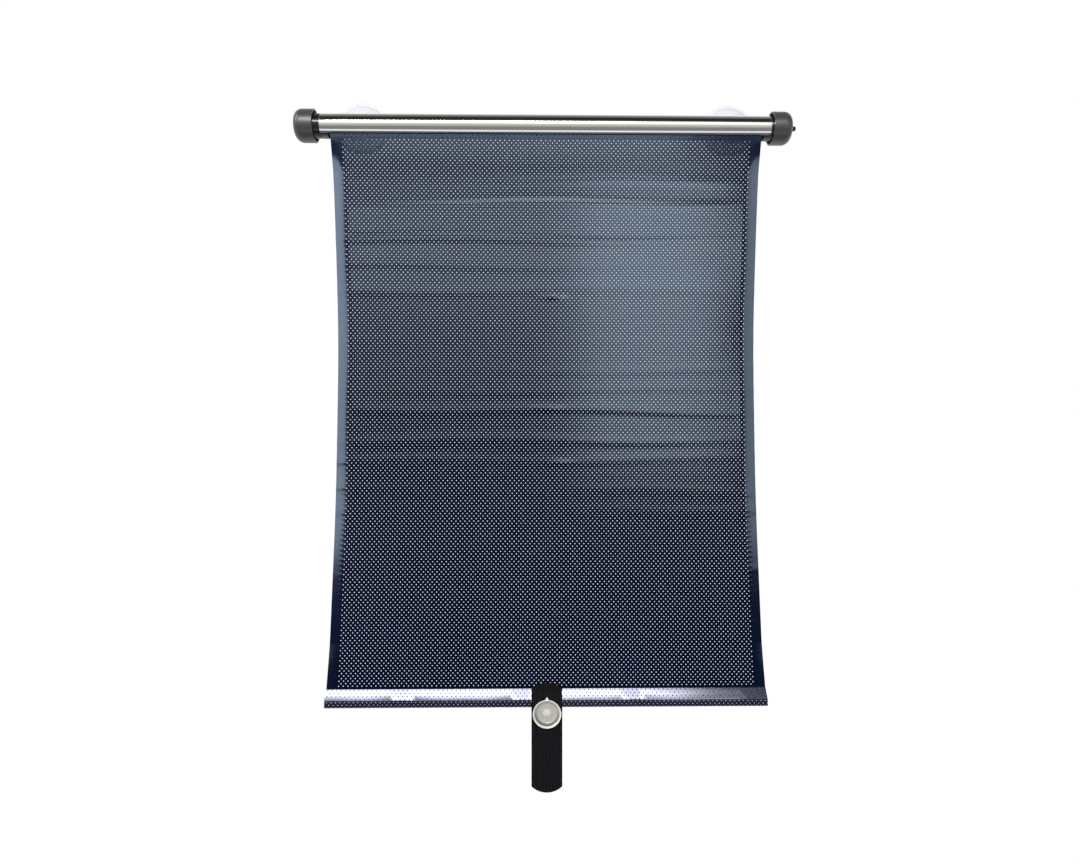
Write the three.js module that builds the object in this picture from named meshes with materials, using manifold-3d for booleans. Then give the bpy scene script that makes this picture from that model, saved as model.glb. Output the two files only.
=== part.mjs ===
// Roller sunshade for a car's side window: a spring roller in a chromed cassette, a perforated film
// that draws down by its hem bar and strap, a push button that frees the roller, and suction cups.
// Millimetres. +X runs along the cassette, +Y points at the window glass, +Z is up.
// The origin lies on the glass, midway between the two top suction cups.
import * as THREE from "three";
import { mergeVertices } from "three/addons/utils/BufferGeometryUtils.js";
import Module from "manifold-3d";

const wasm = await Module();
wasm.setup();

// Clearances
const SEAT = 0.3; // between two pieces that touch
const PRESS_GAP = 0.4; // between the button's parts and what they travel past

// Cassette shell: a C section with its slot at the bottom
const SHELL_LENGTH = 405;
const SHELL_RADIUS = 11;
const SHELL_WALL = 0.7;
const SLOT_FRONT = 40; // degrees from straight down to the front lip
const SLOT_REAR = 28; // degrees from straight down to the rear lip

// End caps and the hubs inside them
const CAP_RADIUS = 14.5;
const CAP_LENGTH = 18;
const CAP_WALL = 1.6;
const CAP_ROUND = 7.5;
const COLLAR_LEFT = 5.5; // hub that shows between the shell and the left cap
const COLLAR_RIGHT = 0.8;
const HUB_PLUG = 6; // how far a hub reaches into the shell
const HUB_INSET = 2; // from the cap's mouth to the hub's flange
const HUB_FLANGE = 4;

// Roller
const ROLLER_RADIUS = 5.2;
const ROLLER_WALL = 0.8;
const ROLLER_PLAY = 0.7; // end play towards each hub

// Fixed arbor and torsion spring, at the left
const ARBOR_RADIUS = 1.8;
const ARBOR_SEAT = 7; // how deep the arbor sits in the hub
const BUSH_LENGTH = 12;
const ANCHOR_LENGTH = 4;
const ANCHOR_RADIUS = 3.2;
const TORSION_RADIUS = 2.9;
const TORSION_WIRE = 0.6;
const TORSION_LENGTH = 50;
const TORSION_TURNS = 16;
const DRIVER_LENGTH = 8;
const ARBOR_TAIL = 4; // arbor beyond the spring driver

// Lock and push button, at the right
const JOURNAL_WALL = 0.7; // least wall of the journal round the square way for the stem
const JOURNAL_LENGTH = 8;
const STEM_SIDE = 2.4;
const LIP_THICKNESS = 1.5;
const LOCK_WALL = 0.6;
const LOCK_DEPTH = 9; // hollow of the lock plug behind its lip
const TOOTH_COUNT = 8;
const TOOTH_HEIGHT = 0.8;
const TOOTH_ROOT = 0.3; // how far a tooth is sunk into its face
const TOOTH_INSET = 0.2; // from the hole to the teeth
const DISC_THICKNESS = 2.2;
const SOCKET_DEPTH = 1.4;
const BUTTON_RADIUS = 2.2;
const BUTTON_REACH = 5; // how far the button stands out of the cap
const BUTTON_ROUND = 1.3;
const BUTTON_TRAVEL = 2;
const BUTTON_FLANGE_RADIUS = 4.5;
const BUTTON_FLANGE = 1.5;
const RETURN_RADIUS = 3.2;
const RETURN_WIRE = 0.5;
const RETURN_TURNS = 4;

// Film
const FILM_THICKNESS = 0.3;
const FILM_INSET = 8.5; // from the shell's end to the film's edge at the top
const WAIST_INSET = 6.5; // how far each edge draws in at the waist
const HEM_FLARE = 4.5; // how far each edge stands out at the hem, past the top's
const TURNS = 1; // film left on the roller
const TURN_GAP = 0.15;
const FILM_DROP = 522; // from the roller's axis to the foot of the hem
const WAIST_DROP = 206; // from the roller's axis to the waist
const EASE_ABOVE = 1.8; // how sharply the edge bends above the waist
const EASE_BELOW = 1.7;
const HOLE_COLUMNS = 8;
const HOLE_ROWS = 15;
const HOLE_RADIUS = 2.5;
const PLAIN_MARGIN = 9; // unperforated edge

// Hem and its bar
const HEM_HEIGHT = 19;
const HEM_DEPTH = 5;
const HEM_NOSE = 8.5; // height at which the hem's face starts to lean back
const HEM_WELD = 1.5;
const BAR_HEIGHT = 8.6;
const BAR_INSET = 6; // from the hem's end to the bar's

// Pull strap
const STRAP_WIDTH = 27.5;
const STRAP_LENGTH = 96.8;
const STRAP_THICKNESS = 1.5;
const STRAP_RISE = 2.6; // strap above the top of the hem
const STRAP_END = 20; // radius of each end

// Suction cup on the strap
const SMALL_CUP_RADIUS = 12.65;
const SMALL_CUP_FLOOR = 9.25;
const SMALL_CUP_DEPTH = 5;
const SMALL_CUP_WALL = 0.7;
const SMALL_CUP_BASE = 1.7;
const SMALL_CUP_DROP = 3.3; // from the foot of the hem to the cup's centre
const SMALL_NECK_RADIUS = 2.2;
const SMALL_HEAD_RADIUS = 3.5;
const SMALL_HEAD = 1.2;
const TAB_WIDTH = 4;
const TAB_LENGTH = 2.6;

// Top suction cups and the clips that carry them
const CUP_INSET = 31.5; // from the shell's end to a cup's centre
const CUP_RISE = 6.5; // cups above the roller's axis
const CUP_RADIUS = 25;
const CUP_RIM = 2.4; // width of the flat rim that meets the glass
const CUP_EDGE = 0.8;
const CUP_HOLLOW = 5.4;
const CUP_DEPTH = 8.7; // from the glass to the back of the cup
const CUP_HUB_RADIUS = 7.5;
const CUP_HUB = 1.6;
const CUP_FLARE = 1.2; // how much the bell's back bulges
const NECK_RADIUS = 2.5;
const HEAD_RADIUS = 4.4;
const HEAD_THICKNESS = 1.9;
const CLIP_WIDTH = 14;
const CLIP_WALL = 1.1;
const CLIP_TOP = 184; // degrees from straight down to the clip's upper end
const HOOK_TOP = 76; // degrees from straight down to the end of the hook inside the shell
const HOOK_WALL = 0.9;
const HOOK_FOOT = 5; // degrees that the hook turns round the lip
const BOSS_DEPTH = 5.5; // boss behind the shell
const BOSS_FLOOR = 2; // boss below and above the cup's head
const BOSS_ROUND = 3;
const KEEPER = 1.8; // plate that holds the cup's head

// Worked out from the sizes above
const SHELL_BORE = SHELL_RADIUS - SHELL_WALL;
const SHELL_END = SHELL_LENGTH / 2;
const LEFT_MOUTH = -SHELL_END - COLLAR_LEFT;
const RIGHT_MOUTH = SHELL_END + COLLAR_RIGHT;
const HUB_FACE = SHELL_END - HUB_PLUG;
const ROLLER_END = HUB_FACE - ROLLER_PLAY;
const ROLLER_BORE = ROLLER_RADIUS - ROLLER_WALL;
const PLUG_RADIUS = ROLLER_BORE - SEAT;
const ARBOR_BORE = ARBOR_RADIUS + SEAT;
const STEM_WAY = (STEM_SIDE / 2 + SEAT) * Math.SQRT2; // corner radius of the square way
const JOURNAL_RADIUS = STEM_WAY + JOURNAL_WALL;
const JOURNAL_BORE = JOURNAL_RADIUS + SEAT;
const JOURNAL_END = HUB_FACE - JOURNAL_LENGTH;
const LIP_OUTER = JOURNAL_END - SEAT;
const LIP_INNER = LIP_OUTER - LIP_THICKNESS;
const LIP_HOLE = (STEM_SIDE / 2) * Math.SQRT2 + PRESS_GAP;
const LOCK_BORE = PLUG_RADIUS - LOCK_WALL;
const TOOTH_START = Math.max(LIP_HOLE, STEM_WAY) + TOOTH_INSET;
const DISC_FACE = LIP_INNER - 2 * TOOTH_HEIGHT - SEAT;
const HUB_BACK = RIGHT_MOUTH + HUB_INSET + HUB_FLANGE;
const RIGHT_END = RIGHT_MOUTH + CAP_LENGTH;
const FLANGE_FRONT = RIGHT_END - CAP_WALL - SEAT;
const FLANGE_BACK = FLANGE_FRONT - BUTTON_FLANGE;
const ANCHOR_START = -ROLLER_END + BUSH_LENGTH + SEAT;
const SPRING_START = ANCHOR_START + ANCHOR_LENGTH + SEAT;
const DRIVER_START = SPRING_START + TORSION_LENGTH + SEAT;
const FILM_TOP = SHELL_END - FILM_INSET;
const FILM_WAIST = FILM_TOP - WAIST_INSET;
const FILM_FOOT = FILM_TOP + HEM_FLARE;
const TURN_PITCH = FILM_THICKNESS + TURN_GAP;
const FIRST_TURN = ROLLER_RADIUS + SEAT + FILM_THICKNESS / 2;
const FILM_PLANE = FIRST_TURN + TURNS * TURN_PITCH;
const GLASS_GAP = SHELL_RADIUS + BOSS_DEPTH + SEAT + CUP_DEPTH;
const HEM_FOOT_RADIUS = (HEM_DEPTH + FILM_THICKNESS / 2) / 2;
const HEM_FOOT_CENTRE = FILM_THICKNESS / 2 - HEM_FOOT_RADIUS;
const STRAP_TOP = HEM_HEIGHT + STRAP_RISE;
const STRAP_PLANE = -HEM_DEPTH - SEAT - STRAP_THICKNESS / 2;

// Materials
function finish(color, roughness, metalness = 0) {
  return new THREE.MeshStandardMaterial({ color, roughness, metalness });
}

const CHROME = finish(0xd8d8d6, 0.08, 1);
const GREY_PLASTIC = finish(0x55565a, 0.45);
const BLACK_PLASTIC = finish(0x101114, 0.3);
const STEEL = finish(0x9a9c9f, 0.35, 1);
const ALUMINIUM = finish(0xb8babd, 0.4, 1);
const FILM_VINYL = finish(0x1a2438, 0.4);
const CLEAR_VINYL = finish(0xdcdae6, 0.15);
const CLEAR_PLASTIC = finish(0xe6e6ea, 0.2);
const WEBBING = finish(0x0b0b0d, 0.9);

// Helpers
function solidOf(geometry) {
  const plain = geometry.index ? geometry.toNonIndexed() : geometry.clone();
  plain.deleteAttribute("normal");
  plain.deleteAttribute("uv");
  const merged = mergeVertices(plain, 1e-4);
  return new wasm.Manifold(
    new wasm.Mesh({
      numProp: 3,
      vertProperties: merged.attributes.position.array,
      triVerts: new Uint32Array(merged.index.array),
    }),
  );
}

function geometryOf(solid) {
  const mesh = solid.getMesh();
  const geometry = new THREE.BufferGeometry();
  geometry.setAttribute("position", new THREE.BufferAttribute(mesh.vertProperties, 3));
  geometry.setIndex(new THREE.BufferAttribute(mesh.triVerts, 1));
  geometry.computeVertexNormals();
  return geometry;
}

function addMesh(group, name, geometry, material) {
  const mesh = new THREE.Mesh(geometry, material);
  mesh.name = name;
  group.add(mesh);
  return mesh;
}

// A turned piece: the profile lists [place along the axis, radius], and closes on itself if it is a ring.
function turned(profile, segments) {
  const points = profile.map(([along, radius]) => new THREE.Vector2(radius, along));
  const closed = profile.every(([, radius]) => radius > 0);
  if (THREE.ShapeUtils.area(points) < 0) points.reverse();
  if (closed) points.push(points[0].clone());
  return new THREE.LatheGeometry(points, segments);
}

function turnedAlongX(profile, segments = 36) {
  return turned(profile, segments).rotateZ(-Math.PI / 2);
}

function turnedAlongY(profile, segments = 36) {
  return turned(profile, segments);
}

// Extrusion of a section in the Y-Z plane, from one X to another.
function extrudedAlongX(shape, from, to, curveSegments = 12) {
  const geometry = new THREE.ExtrudeGeometry(shape, {
    depth: to - from,
    bevelEnabled: false,
    curveSegments,
  });
  const basis = new THREE.Matrix4().makeBasis(
    new THREE.Vector3(0, 1, 0),
    new THREE.Vector3(0, 0, 1),
    new THREE.Vector3(1, 0, 0),
  );
  return geometry.applyMatrix4(basis).translate(from, 0, 0);
}

// Extrusion of an outline in the X-Z plane, from one Y to a higher one.
function extrudedAlongY(shape, from, to, curveSegments = 12) {
  const geometry = new THREE.ExtrudeGeometry(shape, {
    depth: to - from,
    bevelEnabled: false,
    curveSegments,
  });
  return geometry.rotateX(Math.PI / 2).translate(0, to, 0);
}

// An angle in the section plane, given in degrees from straight down towards the glass.
function fromBelow(degrees) {
  return THREE.MathUtils.degToRad(degrees - 90);
}

function polar(radius, angle) {
  return new THREE.Vector2(radius * Math.cos(angle), radius * Math.sin(angle));
}

function rectangle(left, right, low, high) {
  const shape = new THREE.Shape();
  shape.moveTo(left, low);
  shape.lineTo(right, low);
  shape.lineTo(right, high);
  shape.lineTo(left, high);
  return shape;
}

function roundedRectangle(left, right, low, high, radius) {
  const shape = new THREE.Shape();
  shape.moveTo(left + radius, low);
  shape.absarc(right - radius, low + radius, radius, -Math.PI / 2, 0);
  shape.absarc(right - radius, high - radius, radius, 0, Math.PI / 2);
  shape.absarc(left + radius, high - radius, radius, Math.PI / 2, Math.PI);
  shape.absarc(left + radius, low + radius, radius, Math.PI, Math.PI * 1.5);
  return shape;
}

// The section of a thin strip that follows a line of points.
function ribbon(points, thickness) {
  const near = [];
  const far = [];
  points.forEach((point, i) => {
    const before = points[Math.max(i - 1, 0)];
    const after = points[Math.min(i + 1, points.length - 1)];
    const into = point.clone().sub(before);
    const out = after.clone().sub(point);
    const first = into.lengthSq() > 0 ? into.normalize() : out.clone().normalize();
    const second = out.lengthSq() > 0 ? out.normalize() : first;
    const along = first.clone().add(second).normalize();
    const reach = thickness / 2 / along.dot(first);
    const side = new THREE.Vector2(-along.y, along.x).multiplyScalar(reach);
    near.push(point.clone().add(side));
    far.push(point.clone().sub(side));
  });
  return new THREE.Shape(near.concat(far.reverse()));
}

class Helix extends THREE.Curve {
  constructor(radius, from, to, turns) {
    super();
    Object.assign(this, { radius, from, to, turns });
  }

  getPoint(t, target = new THREE.Vector3()) {
    const angle = t * this.turns * 2 * Math.PI;
    return target.set(
      this.from + (this.to - this.from) * t,
      this.radius * Math.cos(angle),
      this.radius * Math.sin(angle),
    );
  }
}

function coilSpring(radius, wire, from, to, turns) {
  const section = new THREE.Shape();
  section.absarc(0, 0, wire / 2, 0, 2 * Math.PI);
  return new THREE.ExtrudeGeometry(section, {
    steps: turns * 10,
    curveSegments: 3,
    extrudePath: new Helix(radius, from + wire / 2, to - wire / 2, turns),
  });
}

// Points of a rounded corner in a turned profile, from the angle 0 (along the axis) to a right angle.
function roundedEdge(along, radius, bend, side, steps = 5) {
  return Array.from({ length: steps + 1 }, (_, i) => {
    const angle = ((i / steps) * Math.PI) / 2;
    return [
      along - side * bend * (1 - Math.cos(angle)),
      radius - bend * (1 - Math.sin(angle)),
    ];
  });
}

// Cassette shell and end caps
function shell() {
  const section = new THREE.Shape();
  const rear = fromBelow(SLOT_REAR);
  const front = fromBelow(360 - SLOT_FRONT);
  section.absarc(0, 0, SHELL_RADIUS, rear, front, false);
  section.absarc(0, 0, SHELL_BORE, front, rear, true);
  return extrudedAlongX(section, -SHELL_END, SHELL_END, 28);
}

// A cup-shaped cap whose mouth faces the shell. side is 1 at the right and -1 at the left.
function endCap(mouth, side, holeRadius) {
  const end = mouth + side * CAP_LENGTH;
  const inside = end - side * CAP_WALL;
  const bore = CAP_RADIUS - CAP_WALL;
  const chamfer = CAP_ROUND / 2;
  return turnedAlongX([
    [end, holeRadius],
    ...roundedEdge(end, CAP_RADIUS, CAP_ROUND, side),
    [mouth, CAP_RADIUS],
    [mouth, bore],
    [inside - side * chamfer, bore],
    [inside, bore - chamfer],
    [inside, holeRadius],
  ]);
}

// The plug that carries a cap on the shell's end: the points from its inner face outwards.
function hubProfile(mouth, side) {
  const shoulder = side * (SHELL_END + SEAT);
  const flange = mouth + side * HUB_INSET;
  const back = flange + side * HUB_FLANGE;
  return [
    [side * HUB_FACE, SHELL_BORE - SEAT],
    [shoulder, SHELL_BORE - SEAT],
    [shoulder, SHELL_RADIUS - SEAT],
    [flange, SHELL_RADIUS - SEAT],
    [flange, CAP_RADIUS - CAP_WALL - SEAT],
    [back, CAP_RADIUS - CAP_WALL - SEAT],
    [back, 0],
  ];
}

function leftHub() {
  const seat = -HUB_FACE - ARBOR_SEAT - SEAT;
  return turnedAlongX([
    [seat, 0],
    [seat, ARBOR_BORE],
    [-HUB_FACE, ARBOR_BORE],
    ...hubProfile(LEFT_MOUTH, -1),
  ]);
}

function rightHub() {
  const body = turnedAlongX([
    [JOURNAL_END, 0],
    [JOURNAL_END, JOURNAL_RADIUS],
    [HUB_FACE, JOURNAL_RADIUS],
    ...hubProfile(RIGHT_MOUTH, 1),
  ]);
  const half = STEM_SIDE / 2 + SEAT;
  const way = extrudedAlongX(
    rectangle(-half, half, -half, half),
    JOURNAL_END - 1,
    HUB_BACK + 1,
  );
  return geometryOf(solidOf(body).subtract(solidOf(way)));
}

// Roller and its fixed arbor with the torsion spring
function tube(from, to, outer, inner, segments) {
  return turnedAlongX(
    [
      [from, inner],
      [from, outer],
      [to, outer],
      [to, inner],
    ],
    segments,
  );
}

function arbor() {
  const from = -HUB_FACE - ARBOR_SEAT;
  const to = DRIVER_START + DRIVER_LENGTH + ARBOR_TAIL;
  const bend = ARBOR_RADIUS / 3;
  return turnedAlongX(
    [
      [from, 0],
      [from, ARBOR_RADIUS],
      [to - bend, ARBOR_RADIUS],
      [to, ARBOR_RADIUS - bend],
      [to, 0],
    ],
    16,
  );
}

// Face teeth round the X axis, whose roots lie on the plane at root and whose tips point along side.
function faceTeeth(root, side, inner, outer) {
  const width = inner / 3;
  const low = Math.min(root - side * TOOTH_ROOT, root + side * TOOTH_HEIGHT);
  const high = Math.max(root - side * TOOTH_ROOT, root + side * TOOTH_HEIGHT);
  return Array.from({ length: TOOTH_COUNT }, (_, i) => {
    const tooth = extrudedAlongX(rectangle(inner, outer, -width / 2, width / 2), low, high);
    return solidOf(tooth.rotateX((i / TOOTH_COUNT) * 2 * Math.PI));
  });
}

function lockPlug() {
  const body = turnedAlongX(
    [
      [ROLLER_END, PLUG_RADIUS],
      [ROLLER_END, JOURNAL_BORE],
      [LIP_OUTER, JOURNAL_BORE],
      [LIP_OUTER, LIP_HOLE],
      [LIP_INNER, LIP_HOLE],
      [LIP_INNER, LOCK_BORE],
      [LIP_INNER - LOCK_DEPTH, LOCK_BORE],
      [LIP_INNER - LOCK_DEPTH, PLUG_RADIUS],
    ],
    32,
  );
  const teeth = faceTeeth(LIP_INNER, -1, TOOTH_START, LOCK_BORE - SEAT);
  return geometryOf(teeth.reduce((solid, tooth) => solid.add(tooth), solidOf(body)));
}

function lockDisc() {
  const body = turnedAlongX(
    [
      [DISC_FACE - DISC_THICKNESS, 0],
      [DISC_FACE - DISC_THICKNESS, LOCK_BORE - SEAT],
      [DISC_FACE, LOCK_BORE - SEAT],
      [DISC_FACE, 0],
    ],
    32,
  );
  const teeth = faceTeeth(DISC_FACE, 1, TOOTH_START, LOCK_BORE - 2 * SEAT);
  const half = STEM_SIDE / 2 + SEAT;
  const socket = extrudedAlongX(
    rectangle(-half, half, -half, half),
    DISC_FACE - SOCKET_DEPTH,
    DISC_FACE + 1,
  );
  const toothed = teeth.reduce((solid, tooth) => solid.add(tooth), solidOf(body));
  return geometryOf(toothed.subtract(solidOf(socket)));
}

function releaseButton() {
  const head = turnedAlongX(
    [
      [FLANGE_BACK, 0],
      [FLANGE_BACK, BUTTON_FLANGE_RADIUS],
      [FLANGE_FRONT, BUTTON_FLANGE_RADIUS],
      [FLANGE_FRONT, BUTTON_RADIUS],
      ...roundedEdge(RIGHT_END + BUTTON_REACH, BUTTON_RADIUS, BUTTON_ROUND, 1, 4).reverse(),
      [RIGHT_END + BUTTON_REACH, 0],
    ],
    28,
  );
  const half = STEM_SIDE / 2;
  const stem = extrudedAlongX(
    rectangle(-half, half, -half, half),
    DISC_FACE - SOCKET_DEPTH + SEAT,
    FLANGE_BACK + BUTTON_FLANGE / 2,
  );
  return geometryOf(solidOf(head).add(solidOf(stem)));
}

// Film: turns on the roller, the drawn sheet and the hem's pocket, all one piece
function filmHalfWidth(drop) {
  if (drop <= WAIST_DROP) {
    const share = 1 - Math.max(drop, 0) / WAIST_DROP;
    return FILM_WAIST + WAIST_INSET * share ** EASE_ABOVE;
  }
  const share = (drop - WAIST_DROP) / (FILM_DROP - WAIST_DROP);
  return FILM_WAIST + (FILM_FOOT - FILM_WAIST) * share ** EASE_BELOW;
}

function filmOutline() {
  const above = ROLLER_RADIUS * 3;
  const steps = 24;
  const right = [new THREE.Vector2(FILM_TOP, above)];
  for (let i = 0; i <= steps; i += 1) {
    const drop = (i / steps) * FILM_DROP;
    right.push(new THREE.Vector2(filmHalfWidth(drop), -drop));
  }
  right.push(new THREE.Vector2(FILM_FOOT, -FILM_DROP - 1));
  const left = right.map((point) => new THREE.Vector2(-point.x, point.y)).reverse();
  return new THREE.Shape(right.concat(left));
}

// The line that the film's middle follows: round the roller, then straight down to the hem.
function filmLine() {
  const steps = Math.ceil(TURNS * 28);
  const points = [];
  for (let i = 0; i <= steps; i += 1) {
    const left = 1 - i / steps;
    const radius = FILM_PLANE - left * TURNS * TURN_PITCH;
    const angle = Math.PI - left * TURNS * 2 * Math.PI;
    points.push(polar(radius, angle));
  }
  points.push(new THREE.Vector2(-FILM_PLANE, -FILM_DROP + HEM_FOOT_RADIUS));
  return points;
}

// The hem's section, drawn wall inside the outer one, about the film's plane and the hem's foot.
function hemSection(wall) {
  const radius = HEM_FOOT_RADIUS - wall;
  const shape = new THREE.Shape();
  const top = wall > 0 ? HEM_HEIGHT - HEM_WELD : HEM_HEIGHT;
  const topFront = wall > 0 ? -FILM_THICKNESS / 2 : -1.5 * FILM_THICKNESS;
  shape.moveTo(HEM_FOOT_CENTRE + radius, top);
  shape.lineTo(topFront, top);
  shape.lineTo(HEM_FOOT_CENTRE - radius, HEM_NOSE);
  shape.absarc(HEM_FOOT_CENTRE, HEM_FOOT_RADIUS, radius, -Math.PI, 0, false);
  return shape;
}

function film() {
  const reach = FILM_FOOT + 1;
  const sheet = solidOf(extrudedAlongX(ribbon(filmLine(), FILM_THICKNESS), -reach, reach));
  const outer = extrudedAlongX(hemSection(0), -reach, reach, 5);
  const inner = extrudedAlongX(hemSection(FILM_THICKNESS), -reach - 1, reach + 1, 5);
  for (const part of [outer, inner]) part.translate(0, -FILM_PLANE, -FILM_DROP);
  const outline = extrudedAlongY(filmOutline(), -3 * SHELL_RADIUS, 3 * SHELL_RADIUS);
  let made = sheet.add(solidOf(outer)).subtract(solidOf(inner)).intersect(solidOf(outline));
  const top = -SHELL_RADIUS - PLAIN_MARGIN;
  const low = -FILM_DROP + HEM_HEIGHT + PLAIN_MARGIN;
  const pitch = (2 * (FILM_WAIST - PLAIN_MARGIN)) / (HOLE_COLUMNS + 0.5);
  for (let row = 0; row < HOLE_ROWS; row += 1) {
    const z = top + ((low - top) * (row + 0.5)) / HOLE_ROWS;
    const stagger = row % 2 ? 0.25 : -0.25;
    for (let column = 0; column < HOLE_COLUMNS; column += 1) {
      const x = (column - (HOLE_COLUMNS - 1) / 2 + stagger) * pitch;
      const circle = new THREE.Shape();
      circle.absarc(x, z, HOLE_RADIUS, 0, 2 * Math.PI);
      const punch = extrudedAlongY(circle, -FILM_PLANE - 1, -FILM_PLANE + 1, 3);
      made = made.subtract(solidOf(punch));
    }
  }
  return geometryOf(made);
}

// Hem bar, strap and the strap's suction cup, about the film's plane and the hem's foot
function hemBar() {
  const half = HEM_FOOT_RADIUS - FILM_THICKNESS - SEAT;
  const low = FILM_THICKNESS + SEAT;
  const section = roundedRectangle(
    HEM_FOOT_CENTRE - half,
    HEM_FOOT_CENTRE + half,
    low,
    low + BAR_HEIGHT,
    half,
  );
  return extrudedAlongX(section, BAR_INSET - FILM_FOOT, FILM_FOOT - BAR_INSET, 4);
}

function strap() {
  const rise = HEM_NOSE - HEM_HEIGHT;
  const run = HEM_FOOT_CENTRE - HEM_FOOT_RADIUS + 1.5 * FILM_THICKNESS;
  const lean = Math.hypot(rise, run) / Math.abs(rise);
  const upper = -1.5 * FILM_THICKNESS - (SEAT + STRAP_THICKNESS / 2) * lean;
  const side = ribbon(
    [
      new THREE.Vector2(upper, STRAP_TOP + 1),
      new THREE.Vector2(upper, HEM_HEIGHT),
      new THREE.Vector2(upper + run, HEM_NOSE),
      new THREE.Vector2(STRAP_PLANE, HEM_NOSE - STRAP_THICKNESS),
      new THREE.Vector2(STRAP_PLANE, STRAP_TOP - STRAP_LENGTH - 1),
    ],
    STRAP_THICKNESS,
  );
  const spread = Math.asin(STRAP_WIDTH / 2 / STRAP_END);
  const front = new THREE.Shape();
  const up = Math.PI / 2;
  front.absarc(0, STRAP_TOP - STRAP_END, STRAP_END, up - spread, up + spread);
  front.absarc(0, STRAP_TOP - STRAP_LENGTH + STRAP_END, STRAP_END, -up - spread, -up + spread);
  const eye = new THREE.Shape();
  eye.absarc(0, -SMALL_CUP_DROP, SMALL_NECK_RADIUS + SEAT, 0, 2 * Math.PI);
  const band = solidOf(extrudedAlongX(side, -STRAP_WIDTH, STRAP_WIDTH));
  const outline = solidOf(extrudedAlongY(front, STRAP_PLANE - 9, 9, 8));
  const hole = solidOf(extrudedAlongY(eye, STRAP_PLANE - 9, STRAP_PLANE + 9, 8));
  return geometryOf(band.intersect(outline).subtract(hole));
}

// The cup opens away from the strap, towards -Y. Places along its axis are from the strap's front.
function strapCup() {
  const back = -STRAP_THICKNESS - SEAT;
  const profile = [
    [back - SMALL_HEAD, 0],
    [back - SMALL_HEAD, SMALL_HEAD_RADIUS],
    [back, SMALL_HEAD_RADIUS],
    [back, SMALL_NECK_RADIUS],
    [SEAT, SMALL_NECK_RADIUS],
    [SEAT, SMALL_CUP_FLOOR],
    [SMALL_CUP_DEPTH - SMALL_CUP_WALL, SMALL_CUP_RADIUS],
    [SMALL_CUP_DEPTH, SMALL_CUP_RADIUS],
    [SMALL_CUP_DEPTH, SMALL_CUP_RADIUS - SMALL_CUP_WALL],
    [SMALL_CUP_BASE, SMALL_CUP_FLOOR - SMALL_CUP_WALL],
    [SMALL_CUP_BASE, 0],
  ];
  const cup = turnedAlongY(profile.map(([along, radius]) => [-along, radius]));
  const inner = SMALL_CUP_RADIUS - SMALL_CUP_WALL;
  const tab = new THREE.Shape();
  tab.moveTo(-TAB_WIDTH / 2, inner);
  tab.lineTo(TAB_WIDTH / 2, inner);
  tab.lineTo(0, SMALL_CUP_RADIUS + TAB_LENGTH);
  const point = extrudedAlongY(tab, -SMALL_CUP_DEPTH, -SMALL_CUP_DEPTH + SMALL_CUP_WALL);
  return geometryOf(solidOf(cup).add(solidOf(point)));
}

// Clips and suction cups behind the shell
function keyhole(radius, centre, top) {
  const shape = new THREE.Shape();
  shape.moveTo(radius, top);
  shape.lineTo(-radius, top);
  shape.absarc(0, centre, radius, Math.PI, 2 * Math.PI, false);
  return shape;
}

function cupClip() {
  const half = CLIP_WIDTH / 2;
  const inner = SHELL_RADIUS + SEAT;
  const outer = inner + CLIP_WALL;
  const hookOuter = SHELL_BORE - SEAT;
  const hookInner = hookOuter - HOOK_WALL;
  const foot = fromBelow(SLOT_REAR - HOOK_FOOT);
  const bend = fromBelow(SLOT_REAR - THREE.MathUtils.radToDeg(SEAT / SHELL_BORE));
  const section = new THREE.Shape();
  section.absarc(0, 0, outer, foot, fromBelow(CLIP_TOP), false);
  section.absarc(0, 0, inner, fromBelow(CLIP_TOP), bend, true);
  section.absarc(0, 0, hookOuter, bend, fromBelow(HOOK_TOP), false);
  section.absarc(0, 0, hookInner, fromBelow(HOOK_TOP), foot, true);
  const band = solidOf(extrudedAlongX(section, -half, half, 10));

  const face = SHELL_RADIUS + BOSS_DEPTH;
  const pocketFace = face - KEEPER;
  const floor = CUP_RISE - HEAD_RADIUS - SEAT - BOSS_FLOOR;
  const roof = CUP_RISE + HEAD_RADIUS + BOSS_FLOOR;
  const bossOutline = roundedRectangle(-half, half, floor, roof, BOSS_ROUND);
  const boss = solidOf(extrudedAlongY(bossOutline, inner * Math.SQRT1_2, face, 3));
  const clear = solidOf(tube(-half - 1, half + 1, inner, inner / 2, 40));
  const pocket = extrudedAlongY(
    keyhole(HEAD_RADIUS + SEAT, CUP_RISE, roof + 1),
    pocketFace - HEAD_THICKNESS - 2 * SEAT,
    pocketFace,
  );
  const slot = extrudedAlongY(keyhole(NECK_RADIUS + SEAT, CUP_RISE, roof + 1), pocketFace - 1, face + 1);
  return geometryOf(
    boss.subtract(clear).add(band).subtract(solidOf(pocket)).subtract(solidOf(slot)),
  );
}

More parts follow.
